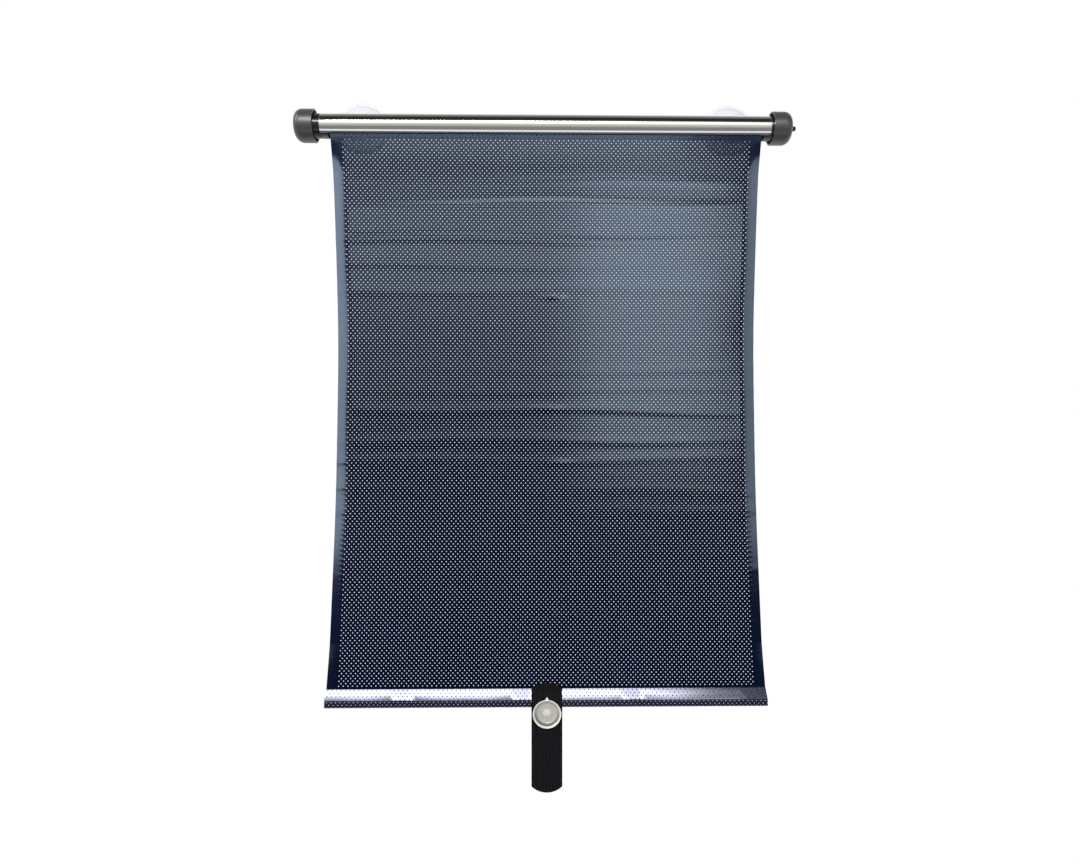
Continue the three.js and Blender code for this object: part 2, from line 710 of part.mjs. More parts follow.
// A bell whose flat rim lies on the glass, with a neck and a head that the clip holds.
function suctionCup() {
  const steps = 5;
  const neckEnd = CUP_DEPTH + KEEPER + 2 * SEAT;
  const hollow = [];
  const outside = [];
  for (let i = 0; i <= steps; i += 1) {
    const share = i / steps;
    hollow.push([CUP_HOLLOW * (1 - share ** 2), share * (CUP_RADIUS - CUP_RIM)]);
    const fall = (CUP_DEPTH - CUP_HUB - CUP_EDGE) * (1 - (1 - share) ** CUP_FLARE);
    outside.push([CUP_EDGE + fall, CUP_RADIUS - share * (CUP_RADIUS - CUP_HUB_RADIUS)]);
  }
  const profile = [
    ...hollow,
    [0, CUP_RADIUS],
    ...outside,
    [CUP_DEPTH, CUP_HUB_RADIUS],
    [CUP_DEPTH, NECK_RADIUS],
    [neckEnd, NECK_RADIUS],
    [neckEnd, HEAD_RADIUS],
    [neckEnd + HEAD_THICKNESS, HEAD_RADIUS],
    [neckEnd + HEAD_THICKNESS, 0],
  ];
  return turnedAlongY(profile.map(([along, radius]) => [-along, radius]));
}

// Assembly: the cassette's group has the roller's axis on its X axis
const sunshade = new THREE.Group();
const cassette = new THREE.Group();
cassette.position.set(0, -GLASS_GAP, -CUP_RISE);
sunshade.add(cassette);

addMesh(cassette, "cassette_shell", shell(), CHROME);
addMesh(cassette, "end_cap_left", endCap(LEFT_MOUTH, -1, 0), GREY_PLASTIC);
addMesh(cassette, "end_cap_right", endCap(RIGHT_MOUTH, 1, BUTTON_RADIUS + PRESS_GAP), GREY_PLASTIC);
addMesh(cassette, "hub_left", leftHub(), BLACK_PLASTIC);
addMesh(cassette, "hub_right", rightHub(), BLACK_PLASTIC);

addMesh(cassette, "roller_tube", tube(-ROLLER_END, ROLLER_END, ROLLER_RADIUS, ROLLER_BORE, 36), ALUMINIUM);
addMesh(
  cassette,
  "roller_bush",
  tube(-ROLLER_END, -ROLLER_END + BUSH_LENGTH, PLUG_RADIUS, ARBOR_BORE, 32),
  BLACK_PLASTIC,
);
addMesh(cassette, "spring_arbor", arbor(), STEEL);
addMesh(
  cassette,
  "spring_anchor",
  tube(ANCHOR_START, ANCHOR_START + ANCHOR_LENGTH, ANCHOR_RADIUS, ARBOR_BORE, 32),
  STEEL,
);
addMesh(
  cassette,
  "torsion_spring",
  coilSpring(TORSION_RADIUS, TORSION_WIRE, SPRING_START, SPRING_START + TORSION_LENGTH, TORSION_TURNS),
  STEEL,
);
addMesh(
  cassette,
  "spring_driver",
  tube(DRIVER_START, DRIVER_START + DRIVER_LENGTH, PLUG_RADIUS, ARBOR_BORE, 32),
  BLACK_PLASTIC,
);

addMesh(cassette, "lock_plug", lockPlug(), BLACK_PLASTIC);
addMesh(cassette, "lock_disc", lockDisc(), STEEL);
addMesh(cassette, "release_button", releaseButton(), BLACK_PLASTIC);
addMesh(
  cassette,
  "button_spring",
  coilSpring(
    RETURN_RADIUS,
    RETURN_WIRE,
    HUB_BACK + SEAT,
    FLANGE_BACK - BUTTON_TRAVEL - SEAT,
    RETURN_TURNS,
  ),
  STEEL,
);

addMesh(cassette, "film", film(), FILM_VINYL);

const hem = new THREE.Group();
hem.position.set(0, -FILM_PLANE, -FILM_DROP);
cassette.add(hem);
addMesh(hem, "hem_bar", hemBar(), STEEL);
addMesh(hem, "pull_strap", strap(), WEBBING);
const smallCup = addMesh(hem, "strap_cup", strapCup(), CLEAR_VINYL);
smallCup.position.set(0, STRAP_PLANE - STRAP_THICKNESS / 2, -SMALL_CUP_DROP);

for (const [name, side] of [
  ["left", -1],
  ["right", 1],
]) {
  const clip = addMesh(cassette, `cup_clip_${name}`, cupClip(), CLEAR_PLASTIC);
  clip.position.x = side * (SHELL_END - CUP_INSET);
  const cup = addMesh(sunshade, `suction_cup_${name}`, suctionCup(), CLEAR_VINYL);
  cup.position.x = clip.position.x;
}

export default sunshade;
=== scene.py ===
"""Car side window sunshade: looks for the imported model.

A roller shade hangs from two suction cups, fully drawn: a chromed cassette with satin caps, a
perforated vinyl film, a hem pocket with its bar, a webbing pull strap and a small cup on it.
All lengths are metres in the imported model's frame unless a name ends in _mm.
"""

import logging
import math
from dataclasses import dataclass, field
from enum import Enum
from typing import Callable, Iterable, Sequence, Union

import bpy
import numpy as np
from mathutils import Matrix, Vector

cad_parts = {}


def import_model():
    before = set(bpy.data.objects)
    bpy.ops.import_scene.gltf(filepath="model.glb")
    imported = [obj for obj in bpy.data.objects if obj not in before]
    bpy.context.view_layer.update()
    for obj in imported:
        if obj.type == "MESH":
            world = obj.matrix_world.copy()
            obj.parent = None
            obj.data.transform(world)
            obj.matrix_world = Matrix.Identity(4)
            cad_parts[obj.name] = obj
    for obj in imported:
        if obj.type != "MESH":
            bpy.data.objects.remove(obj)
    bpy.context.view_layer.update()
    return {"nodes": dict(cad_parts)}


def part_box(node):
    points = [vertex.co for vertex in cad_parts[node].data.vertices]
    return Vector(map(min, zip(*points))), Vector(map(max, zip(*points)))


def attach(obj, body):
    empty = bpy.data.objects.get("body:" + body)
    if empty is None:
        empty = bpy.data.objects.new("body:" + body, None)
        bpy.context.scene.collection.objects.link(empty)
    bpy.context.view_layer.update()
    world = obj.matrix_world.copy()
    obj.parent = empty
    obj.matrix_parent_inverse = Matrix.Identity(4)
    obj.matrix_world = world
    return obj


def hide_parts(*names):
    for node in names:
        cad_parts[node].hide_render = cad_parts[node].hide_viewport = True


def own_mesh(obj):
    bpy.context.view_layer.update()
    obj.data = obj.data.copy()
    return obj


LOG = logging.getLogger("sunshade")
MM = 0.001
Point = tuple[float, float, float]
Colour = tuple[float, float, float]
Profile = Sequence[tuple[float, float]]


class Axis(Enum):
    """The direction that a turned piece has as its axis."""

    X = 0
    Y = 1

    def vector(self) -> Vector:
        """The unit vector of the axis."""
        return Vector((1.0, 0.0, 0.0) if self is Axis.X else (0.0, 1.0, 0.0))

    def turn(self) -> Point:
        """The rotation that lays a circle square to the axis."""
        return (0.0, math.pi / 2, 0.0) if self is Axis.X else (math.pi / 2, 0.0, 0.0)


class Side(Enum):
    """An end of the cassette."""

    LEFT = -1
    RIGHT = 1

    @property
    def word(self) -> str:
        """The side's name as the nodes spell it."""
        return self.name.lower()


# Shader maths


class Link:
    """A shader socket that adds its Math nodes when it is used in an expression."""

    def __init__(self, maker: "Shader", socket: bpy.types.NodeSocket) -> None:
        """Keeps the socket and the shader that it belongs to."""
        self.maker = maker
        self.socket = socket

    def _math(self, operation: str, *values: "Value") -> "Link":
        """Adds one Math node and returns its result."""
        return self.maker.node("ShaderNodeMath", {"operation": operation}, dict(enumerate(values)))

    def __add__(self, other: "Value") -> "Link":
        """self + other."""
        return self._math("ADD", self, other)

    def __radd__(self, other: "Value") -> "Link":
        """other + self."""
        return self._math("ADD", other, self)

    def __sub__(self, other: "Value") -> "Link":
        """self - other."""
        return self._math("SUBTRACT", self, other)

    def __rsub__(self, other: "Value") -> "Link":
        """other - self."""
        return self._math("SUBTRACT", other, self)

    def __mul__(self, other: "Value") -> "Link":
        """self * other."""
        return self._math("MULTIPLY", self, other)

    def __rmul__(self, other: "Value") -> "Link":
        """other * self."""
        return self._math("MULTIPLY", other, self)

    def __truediv__(self, other: "Value") -> "Link":
        """self / other."""
        return self._math("DIVIDE", self, other)

    def __rtruediv__(self, other: "Value") -> "Link":
        """other / self."""
        return self._math("DIVIDE", other, self)

    def __neg__(self) -> "Link":
        """-self."""
        return self._math("MULTIPLY", self, -1.0)

    def apply(self, operation: str, *values: "Value") -> "Link":
        """Any other Math operation with self as its first value."""
        return self._math(operation, self, *values)

    def smooth(self, low: float, high: float) -> "Link":
        """0 below low and 1 above high, with a smooth step between.

        Args:
            low: The value at which the step starts.
            high: The value at which it ends.

        Returns:
            The stepped value.
        """
        return self.maker.node(
            "ShaderNodeMapRange",
            {"interpolation_type": "SMOOTHSTEP"},
            {"Value": self, "From Min": low, "From Max": high},
            "Result",
        )


Value = Union[Link, float]


class Shader:
    """Builds one node tree, for a material or for the world."""

    def __init__(self, tree: bpy.types.NodeTree) -> None:
        """Empties the tree and keeps it."""
        self.tree = tree
        tree.nodes.clear()

    def node(
        self,
        kind: str,
        settings: dict[str, object] | None = None,
        sockets: dict[Union[str, int], object] | None = None,
        output: Union[str, int] = 0,
    ) -> Link:
        """Adds a node.

        Args:
            kind: The node's type name.
            settings: Its properties, which are set first. A ramp's stops go under "stops".
            sockets: Its inputs by name or number, as values or links.
            output: The output that is returned.

        Returns:
            The chosen output, as a link.
        """
        made = self.tree.nodes.new(kind)
        for key, value in (settings or {}).items():
            if key == "stops":
                self._stops(made.color_ramp, value)
            else:
                setattr(made, key, value)
        for key, value in (sockets or {}).items():
            if isinstance(value, Link):
                self.tree.links.new(value.socket, made.inputs[key])
            else:
                made.inputs[key].default_value = value
        return Link(self, made.outputs[output]) if len(made.outputs) else Link(self, None)

    @staticmethod
    def _stops(ramp: bpy.types.ColorRamp, stops: Sequence[tuple[float, Colour]]) -> None:
        """Sets a colour ramp's stops.

        Args:
            ramp: The ramp.
            stops: Each stop's place and colour, in order.
        """
        while len(ramp.elements) > 1:
            ramp.elements.remove(ramp.elements[-1])
        for i, (place, colour) in enumerate(stops):
            element = ramp.elements[0] if i == 0 else ramp.elements.new(place)
            element.position = place
            element.color = (*colour, 1.0)

    def coordinates(self) -> Link:
        """The object coordinates, in metres."""
        return self.node("ShaderNodeTexCoord", output="Object")

    def axes(self, vector: Link) -> tuple[Link, Link, Link]:
        """The three parts of a vector.

        Args:
            vector: The vector to take apart.

        Returns:
            Its x, y and z.
        """
        split = self.node("ShaderNodeSeparateXYZ", None, {0: vector}).socket.node
        return tuple(Link(self, split.outputs[i]) for i in range(3))

    def vector(self, x: Value, y: Value, z: Value) -> Link:
        """A vector made of three values."""
        return self.node("ShaderNodeCombineXYZ", None, {0: x, 1: y, 2: z})

    def noise(
        self, vector: Link, scale: float, detail: float = 3.0, roughness: float = 0.5
    ) -> Link:
        """Noise from 0 to 1.

        Args:
            vector: Where it is read.
            scale: Its cells per unit of the vector.
            detail: Its octaves.
            roughness: How strong the finer octaves are.

        Returns:
            The noise.
        """
        sockets = {"Vector": vector, "Scale": scale, "Detail": detail, "Roughness": roughness}
        return self.node("ShaderNodeTexNoise", None, sockets)

    def mix(self, share: Value, low: object, high: object) -> Link:
        """A colour between two.

        Args:
            share: 0 for the low one, 1 for the high one.
            low: A colour or a link.
            high: A colour or a link.

        Returns:
            The mixed colour.
        """
        colours = {
            6: (*low, 1.0) if isinstance(low, tuple) else low,
            7: (*high, 1.0) if isinstance(high, tuple) else high,
        }
        return self.node("ShaderNodeMix", {"data_type": "RGBA"}, {0: share, **colours}, 2)

    def bump(self, height: Link, distance: float, strength: float = 1.0) -> Link:
        """A normal from a height of 0 to 1.

        Args:
            height: The height.
            distance: What a height of 1 stands for, in metres.
            strength: The share of the effect.

        Returns:
            The bent normal.
        """
        sockets = {"Height": height, "Distance": distance, "Strength": strength}
        return self.node("ShaderNodeBump", None, sockets)

    def rays(self, *kinds: str) -> Link:
        """1 on rays of any of these kinds, else 0.

        Args:
            *kinds: The kinds, as Light Path names its outputs.

        Returns:
            The switch.
        """
        path = self.node("ShaderNodeLightPath").socket.node.outputs
        found = Link(self, path[kinds[0]])
        for kind in kinds[1:]:
            found = found.apply("MAXIMUM", Link(self, path[kind]))
        return found

    def surface(self, **sockets: object) -> None:
        """Ends the tree with a Principled surface whose sockets are given with _ for a space."""
        named = {key.replace("_", " "): value for key, value in sockets.items()}
        shader = self.node("ShaderNodeBsdfPrincipled", None, named)
        self.node("ShaderNodeOutputMaterial", None, {"Surface": shader})


# Finishes


@dataclass(frozen=True)
class Finish:
    """A finish of one kind of surface; each kind paints its own nodes."""

    name: str = "finish"
    slot: str = ""

    def make(self) -> bpy.types.Material:
        """The finish's material, made once."""
        found = bpy.data.materials.get(self.name)
        if found is None:
            found = bpy.data.materials.new(self.name)
            found.use_nodes = True
            self.paint(Shader(found.node_tree))
        return found

    def paint(self, shader: Shader) -> None:
        """Adds the finish's nodes."""
        raise NotImplementedError

    def dress(self, piece: bpy.types.Object) -> None:
        """Puts the material on a piece."""
        piece.data.materials.clear()
        piece.data.materials.append(self.make())

    def dress_node(self, node: bpy.types.Object) -> None:
        """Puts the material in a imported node's own material slots."""
        for place in node.material_slots:
            place.material = self.make()


@dataclass(frozen=True)
class Chrome(Finish):
    """Chromed sheet with faint lengthwise drawing lines and handling smudges."""

    name: str = "chromed_sheet"
    slot: str = "chrome_shell"
    colour: Colour = (0.86, 0.85, 0.83)
    roughness: float = 0.07

    def paint(self, shader: Shader) -> None:
        """Adds the finish's nodes."""
        place = shader.coordinates()
        x, y, z = shader.axes(place)
        lines = shader.noise(shader.vector(x * 6.0, y * 2600.0, z * 2600.0), 1.0, 2.0)
        smudge = shader.noise(place, 26.0, 4.0).smooth(0.45, 0.75)
        shader.surface(
            Base_Color=shader.mix(smudge * 0.35, self.colour, (0.74, 0.73, 0.71)),
            Metallic=1.0,
            Roughness=self.roughness + lines * 0.03 + smudge * 0.05,
            Normal=shader.bump(lines, 0.004 * MM, 0.35),
        )


@dataclass(frozen=True)
class SatinPlastic(Finish):
    """Moulded grey plastic with a fine spark-eroded grain and scattered rubbed spots."""

    name: str = "satin_cap_plastic"
    slot: str = "cap_plastic"
    colour: Colour = (0.04, 0.04, 0.044)
    worn: Colour = (0.11, 0.11, 0.115)
    roughness: float = 0.36

    def paint(self, shader: Shader) -> None:
        """Adds the finish's nodes."""
        place = shader.coordinates()
        grain = shader.noise(place, 3200.0, 2.0)
        cloud = shader.noise(place, 120.0, 3.0)
        scuff = shader.noise(place, 900.0, 3.0).smooth(0.62, 0.75)
        tone = shader.mix(cloud * 0.5, self.colour, (0.056, 0.056, 0.06))
        shader.surface(
            Base_Color=shader.mix(scuff * 0.35, tone, self.worn),
            Roughness=self.roughness + (grain - 0.5) * 0.16 + scuff * 0.1,
            Specular_IOR_Level=0.8,
            Normal=shader.bump(grain, 0.05 * MM, 0.5),
        )


@dataclass(frozen=True)
class GlossPlastic(Finish):
    """Glossy moulded plastic with slight flow marks."""

    name: str = "gloss_hub_plastic"
    slot: str = "hub_plastic"
    colour: Colour = (0.008, 0.008, 0.011)
    roughness: float = 0.14

    def paint(self, shader: Shader) -> None:
        """Adds the finish's nodes."""
        place = shader.coordinates()
        flow = shader.noise(place, 160.0, 3.0)
        rub = shader.noise(place, 1400.0, 2.0).smooth(0.6, 0.8)
        shader.surface(
            Base_Color=shader.mix(flow, self.colour, (0.014, 0.014, 0.018)),
            Roughness=self.roughness + flow * 0.06 + rub * 0.12,
            Normal=shader.bump(flow, 0.05 * MM, 0.4),
        )


@dataclass(frozen=True)
class TurnedMetal(Finish):
    """Metal with fine lines from the lathe, the drawing die or the extruder."""

    name: str = "drawn_steel"
    slot: str = "spring_steel"
    colour: Colour = (0.45, 0.45, 0.46)
    roughness: float = 0.3
    stretch: Point = (5200.0, 300.0, 300.0)

    def paint(self, shader: Shader) -> None:
        """Adds the finish's nodes."""
        x, y, z = shader.axes(shader.coordinates())
        sx, sy, sz = self.stretch
        lines = shader.noise(shader.vector(x * sx, y * sy, z * sz), 1.0, 3.0)
        stain = shader.noise(shader.vector(x, y, z), 220.0, 4.0).smooth(0.5, 0.8)
        dull = tuple(part * 0.7 for part in self.colour)
        shader.surface(
            Base_Color=shader.mix(stain * 0.6, self.colour, dull),
            Metallic=1.0,
            Roughness=self.roughness + (lines - 0.5) * 0.2 + stain * 0.1,
            Normal=shader.bump(lines, 0.01 * MM, 0.5),
        )


@dataclass(frozen=True)
class FilmVinyl(Finish):
    """Dark navy film with a soft sheen, faint cross bands and dusty handling marks."""

    name: str = "navy_film"
    slot: str = "film_vinyl"
    colour: Colour = (0.0003, 0.0022, 0.0165)
    dusty: Colour = (0.0012, 0.0052, 0.0235)
    roughness: float = 0.15
    gloss: float = 0.16
    tint: Colour = (0.6, 0.8, 1.0)

    def tone(self, shader: Shader, place: Link) -> tuple[Link, Link, Link]:
        """The film's colour and roughness without its holes.

        Args:
            shader: The tree that gets the nodes.
            place: The object coordinates.

        Returns:
            The colour, the roughness and the fine grain.
        """
        x, y, z = shader.axes(place)
        bands = shader.noise(shader.vector(x * 3.0, y, z * 55.0), 1.0, 3.0)
        cloud = shader.noise(place, 9.0, 4.0)
        grain = shader.noise(place, 2200.0, 2.0)
        dust = (cloud.smooth(0.35, 0.75) * 0.45) + (bands.smooth(0.4, 0.8) * 0.35)
        colour = shader.mix(dust, self.colour, self.dusty)
        roughness = self.roughness + (bands - 0.5) * 0.08 + (grain - 0.5) * 0.06
        return colour, roughness, grain

    def paint(self, shader: Shader) -> None:
        """Adds the finish's nodes."""
        colour, roughness, grain = self.tone(shader, shader.coordinates())
        shader.surface(
            Base_Color=colour,
            Roughness=roughness,
            Specular_IOR_Level=self.gloss,
            Specular_Tint=(*self.tint, 1.0),
            Normal=shader.bump(grain, 0.02 * MM, 0.4),
        )


@dataclass(frozen=True)
class HemVinyl(FilmVinyl):
    """The same film folded into the hem, with its holes coloured rather than cut: painted shade in
    the upper holes, painted light in the lower strip's holes.
    """

    name: str = "navy_film_hem"
    pitch: float = 3.96 * MM
    row: float = 2.275 * MM
    hole: float = 0.5 * MM
    level: float = -0.5285
    roughness: float = 0.17
    gloss: float = 0.7
    tint: Colour = (0.8, 0.82, 1.0)
    # dark is painted shade in the holes; pale is painted light in the holes of the lower strip.
    dark: Colour = (0.002, 0.002, 0.004)
    pale: Colour = (0.3, 0.33, 0.4)

    def paint(self, shader: Shader) -> None:
        """Adds the finish's nodes."""
        place = shader.coordinates()
        colour, roughness, grain = self.tone(shader, place)
        x, _, z = shader.axes(place)
        down = (z - self.level) / self.row
        line = down.apply("FLOOR")
        odd = line.apply("MODULO", 2.0).apply("ABSOLUTE")
        along = x / self.pitch + odd * 0.5
        dx = (along - along.apply("FLOOR") - 0.5) * (self.pitch / self.hole)
        dz = (down - line - 0.5) * (self.row / self.hole)
        away = (dx * dx + dz * dz).apply("SQRT")
        inside = 1.0 - away.smooth(0.8, 1.05)
        # Holes in the lowest 6 to 8 mm get painted light, the rest get painted shade.
        low = 1.0 - (z - self.level).smooth(6.0 * MM, 8.0 * MM)
        seen = shader.mix(low, self.dark, self.pale)
        shader.surface(
            Base_Color=shader.mix(inside, colour, seen),
            Roughness=roughness + inside * 0.8,
            Specular_IOR_Level=self.gloss,
            Specular_Tint=(*self.tint, 1.0),
            Normal=shader.bump((1.0 - inside) + grain * 0.03, 0.06 * MM, 0.5),
        )


@dataclass(frozen=True)
class ClearPlastic(Finish):
    """Clear moulded plastic: soft vinyl for the cups, harder for the clips."""

    name: str = "clear_cup_vinyl"
    slot: str = "clear_vinyl"
    colour: Colour = (0.74, 0.73, 0.8)
    roughness: float = 0.08
    cover: float = 0.42

    def paint(self, shader: Shader) -> None:
        """Adds the finish's nodes."""
        place = shader.coordinates()
        flow = shader.noise(place, 40.0, 1.0)
        bloom = shader.noise(place, 120.0, 2.0).smooth(0.5, 0.85)
        shader.surface(
            Base_Color=self.tone(shader, place, bloom),
            Roughness=self.roughness + bloom * 0.05,
            Alpha=self.alpha(shader, place),
            Normal=shader.bump(flow, 0.15 * MM, 0.25),
        )

    def tone(self, shader: Shader, place: Link, bloom: Link) -> Link:
        """The colour, a little duller where the vinyl has bloomed."""
        return shader.mix(bloom * 0.6, self.colour, tuple(part * 0.9 for part in self.colour))

    def alpha(self, shader: Shader, place: Link) -> Value:
        """How much the surface hides."""
        return self.cover


@dataclass(frozen=True)
class GlassCupVinyl(ClearPlastic):
    """Clear vinyl whose thin lip shows less than the bell, with a darker line between them."""

    name: str = "clear_cup_rings"
    place_x: float = 171.0 * MM
    lip: float = 22.6 * MM
    line: float = 1.6 * MM

    def alpha(self, shader: Shader, place: Link) -> Value:
        """How much the surface hides."""
        x, _, z = shader.axes(place)
        across = x.apply("ABSOLUTE") - self.place_x
        away = (across * across + z * z).apply("SQRT")
        bell = 1.0 - away.smooth(self.lip - 0.3 * MM, self.lip + 0.3 * MM)
        ring = bell * away.smooth(self.lip - self.line, self.lip - 0.5 * self.line)
        return bell * 0.26 + ring * 0.42 + 0.14


@dataclass(frozen=True)
class SmallCupVinyl(ClearPlastic):
    """Milky vinyl with a painted highlight on its rim, painted shade in the groove inside it
    (heavier towards the bottom), and a paler middle with a painted triangular highlight.
    """

    name: str = "milky_cup_vinyl"
    colour: Colour = (0.5, 0.485, 0.42)
    roughness: float = 0.18
    cover: float = 0.93
    level: float = -0.5318
    # rim is a painted highlight colour; shade is painted shade for the groove.
    rim: Colour = (0.86, 0.85, 0.81)
    shade: Colour = (0.16, 0.155, 0.14)

    def tone(self, shader: Shader, place: Link, bloom: Link) -> Link:
        """The colour over the cup's face, with painted highlights on the rim and in the middle and
        painted shade in the groove.
        """
        x, _, z = shader.axes(place)
        up = z - self.level
        away = (x * x + up * up).apply("SQRT")
        rim = away.smooth(10.9 * MM, 11.4 * MM)
        groove = away.smooth(8.6 * MM, 9.6 * MM)
        # Painted shade in the groove, darker towards the bottom, and a painted triangular highlight
        # in the middle.
        low = 1.0 - up.smooth(-6.0 * MM, 5.0 * MM)
        painted_triangle_highlight = up.smooth(-4.0 * MM, -1.0 * MM) * (1.0 - away.smooth(3.0 * MM, 4.2 * MM))
        middle = shader.mix(painted_triangle_highlight * 0.55 + bloom * 0.15, self.colour, self.rim)
        ring = shader.mix(low * 0.8 + 0.1, middle, self.shade)
        inner = shader.mix(groove, middle, ring)
        # Painted highlight on the outer rim.
        return shader.mix(rim, inner, self.rim)


@dataclass(frozen=True)
class Webbing(Finish):
    """Black woven webbing: close ribs across the strap, each broken by the warp."""

    name: str = "black_webbing"
    slot: str = "webbing"
    colour: Colour = (0.0006, 0.0006, 0.0009)
    lit: Colour = (0.06, 0.06, 0.074)
    rib: float = 2.2 * MM
    warp: float = 2.0 * MM

    def paint(self, shader: Shader) -> None:
        """Adds the finish's nodes."""
        place = shader.coordinates()
        x, _, z = shader.axes(place)
        turn = 2 * math.pi
        columns = x * (turn / self.warp)
        shift = (columns * 0.5).apply("SINE").apply("SIGN") * (math.pi / 2)
        ribs = (z * (turn / self.rib) + shift).apply("SINE")
        threads = columns.apply("COSINE")
        height = (ribs * 0.5 + 0.5) * (threads * 0.25 + 0.75)
        fuzz = shader.noise(place, 2600.0, 3.0)
        shader.surface(
            Base_Color=shader.mix(height * height * fuzz, self.colour, self.lit),
            Roughness=0.82 + (fuzz - 0.5) * 0.2,
            Specular_IOR_Level=0.08,
            Normal=shader.bump(height + fuzz * 0.25, 0.28 * MM, 0.8),
        )


CHROME = Chrome()
CAP = SatinPlastic()
HUB = GlossPlastic()
BUTTON = GlossPlastic("button_plastic", "button_plastic", (0.01, 0.01, 0.012), 0.24)
STEEL = TurnedMetal()
WIRE = TurnedMetal("spring_wire", "spring_steel", (0.42, 0.42, 0.43), 0.26, (900.0, 900.0, 900.0))
BAR = TurnedMetal("bar_steel", "spring_steel", (0.5, 0.5, 0.51), 0.32, (60.0, 2400.0, 2400.0))
ALUMINIUM = TurnedMetal(
    "roller_extrusion", "roller_aluminium", (0.6, 0.61, 0.62), 0.34, (40.0, 2600.0, 2600.0)
)
FILM = FilmVinyl()
HEM_FILM = HemVinyl()
CUP = GlassCupVinyl()
STRAP_CUP = SmallCupVinyl()
CLIP = ClearPlastic("clear_clip_plastic", "clip_plastic", (0.84, 0.84, 0.86), 0.12, 0.6)
WEBBING = Webbing()


# Modelling steps that several pieces share


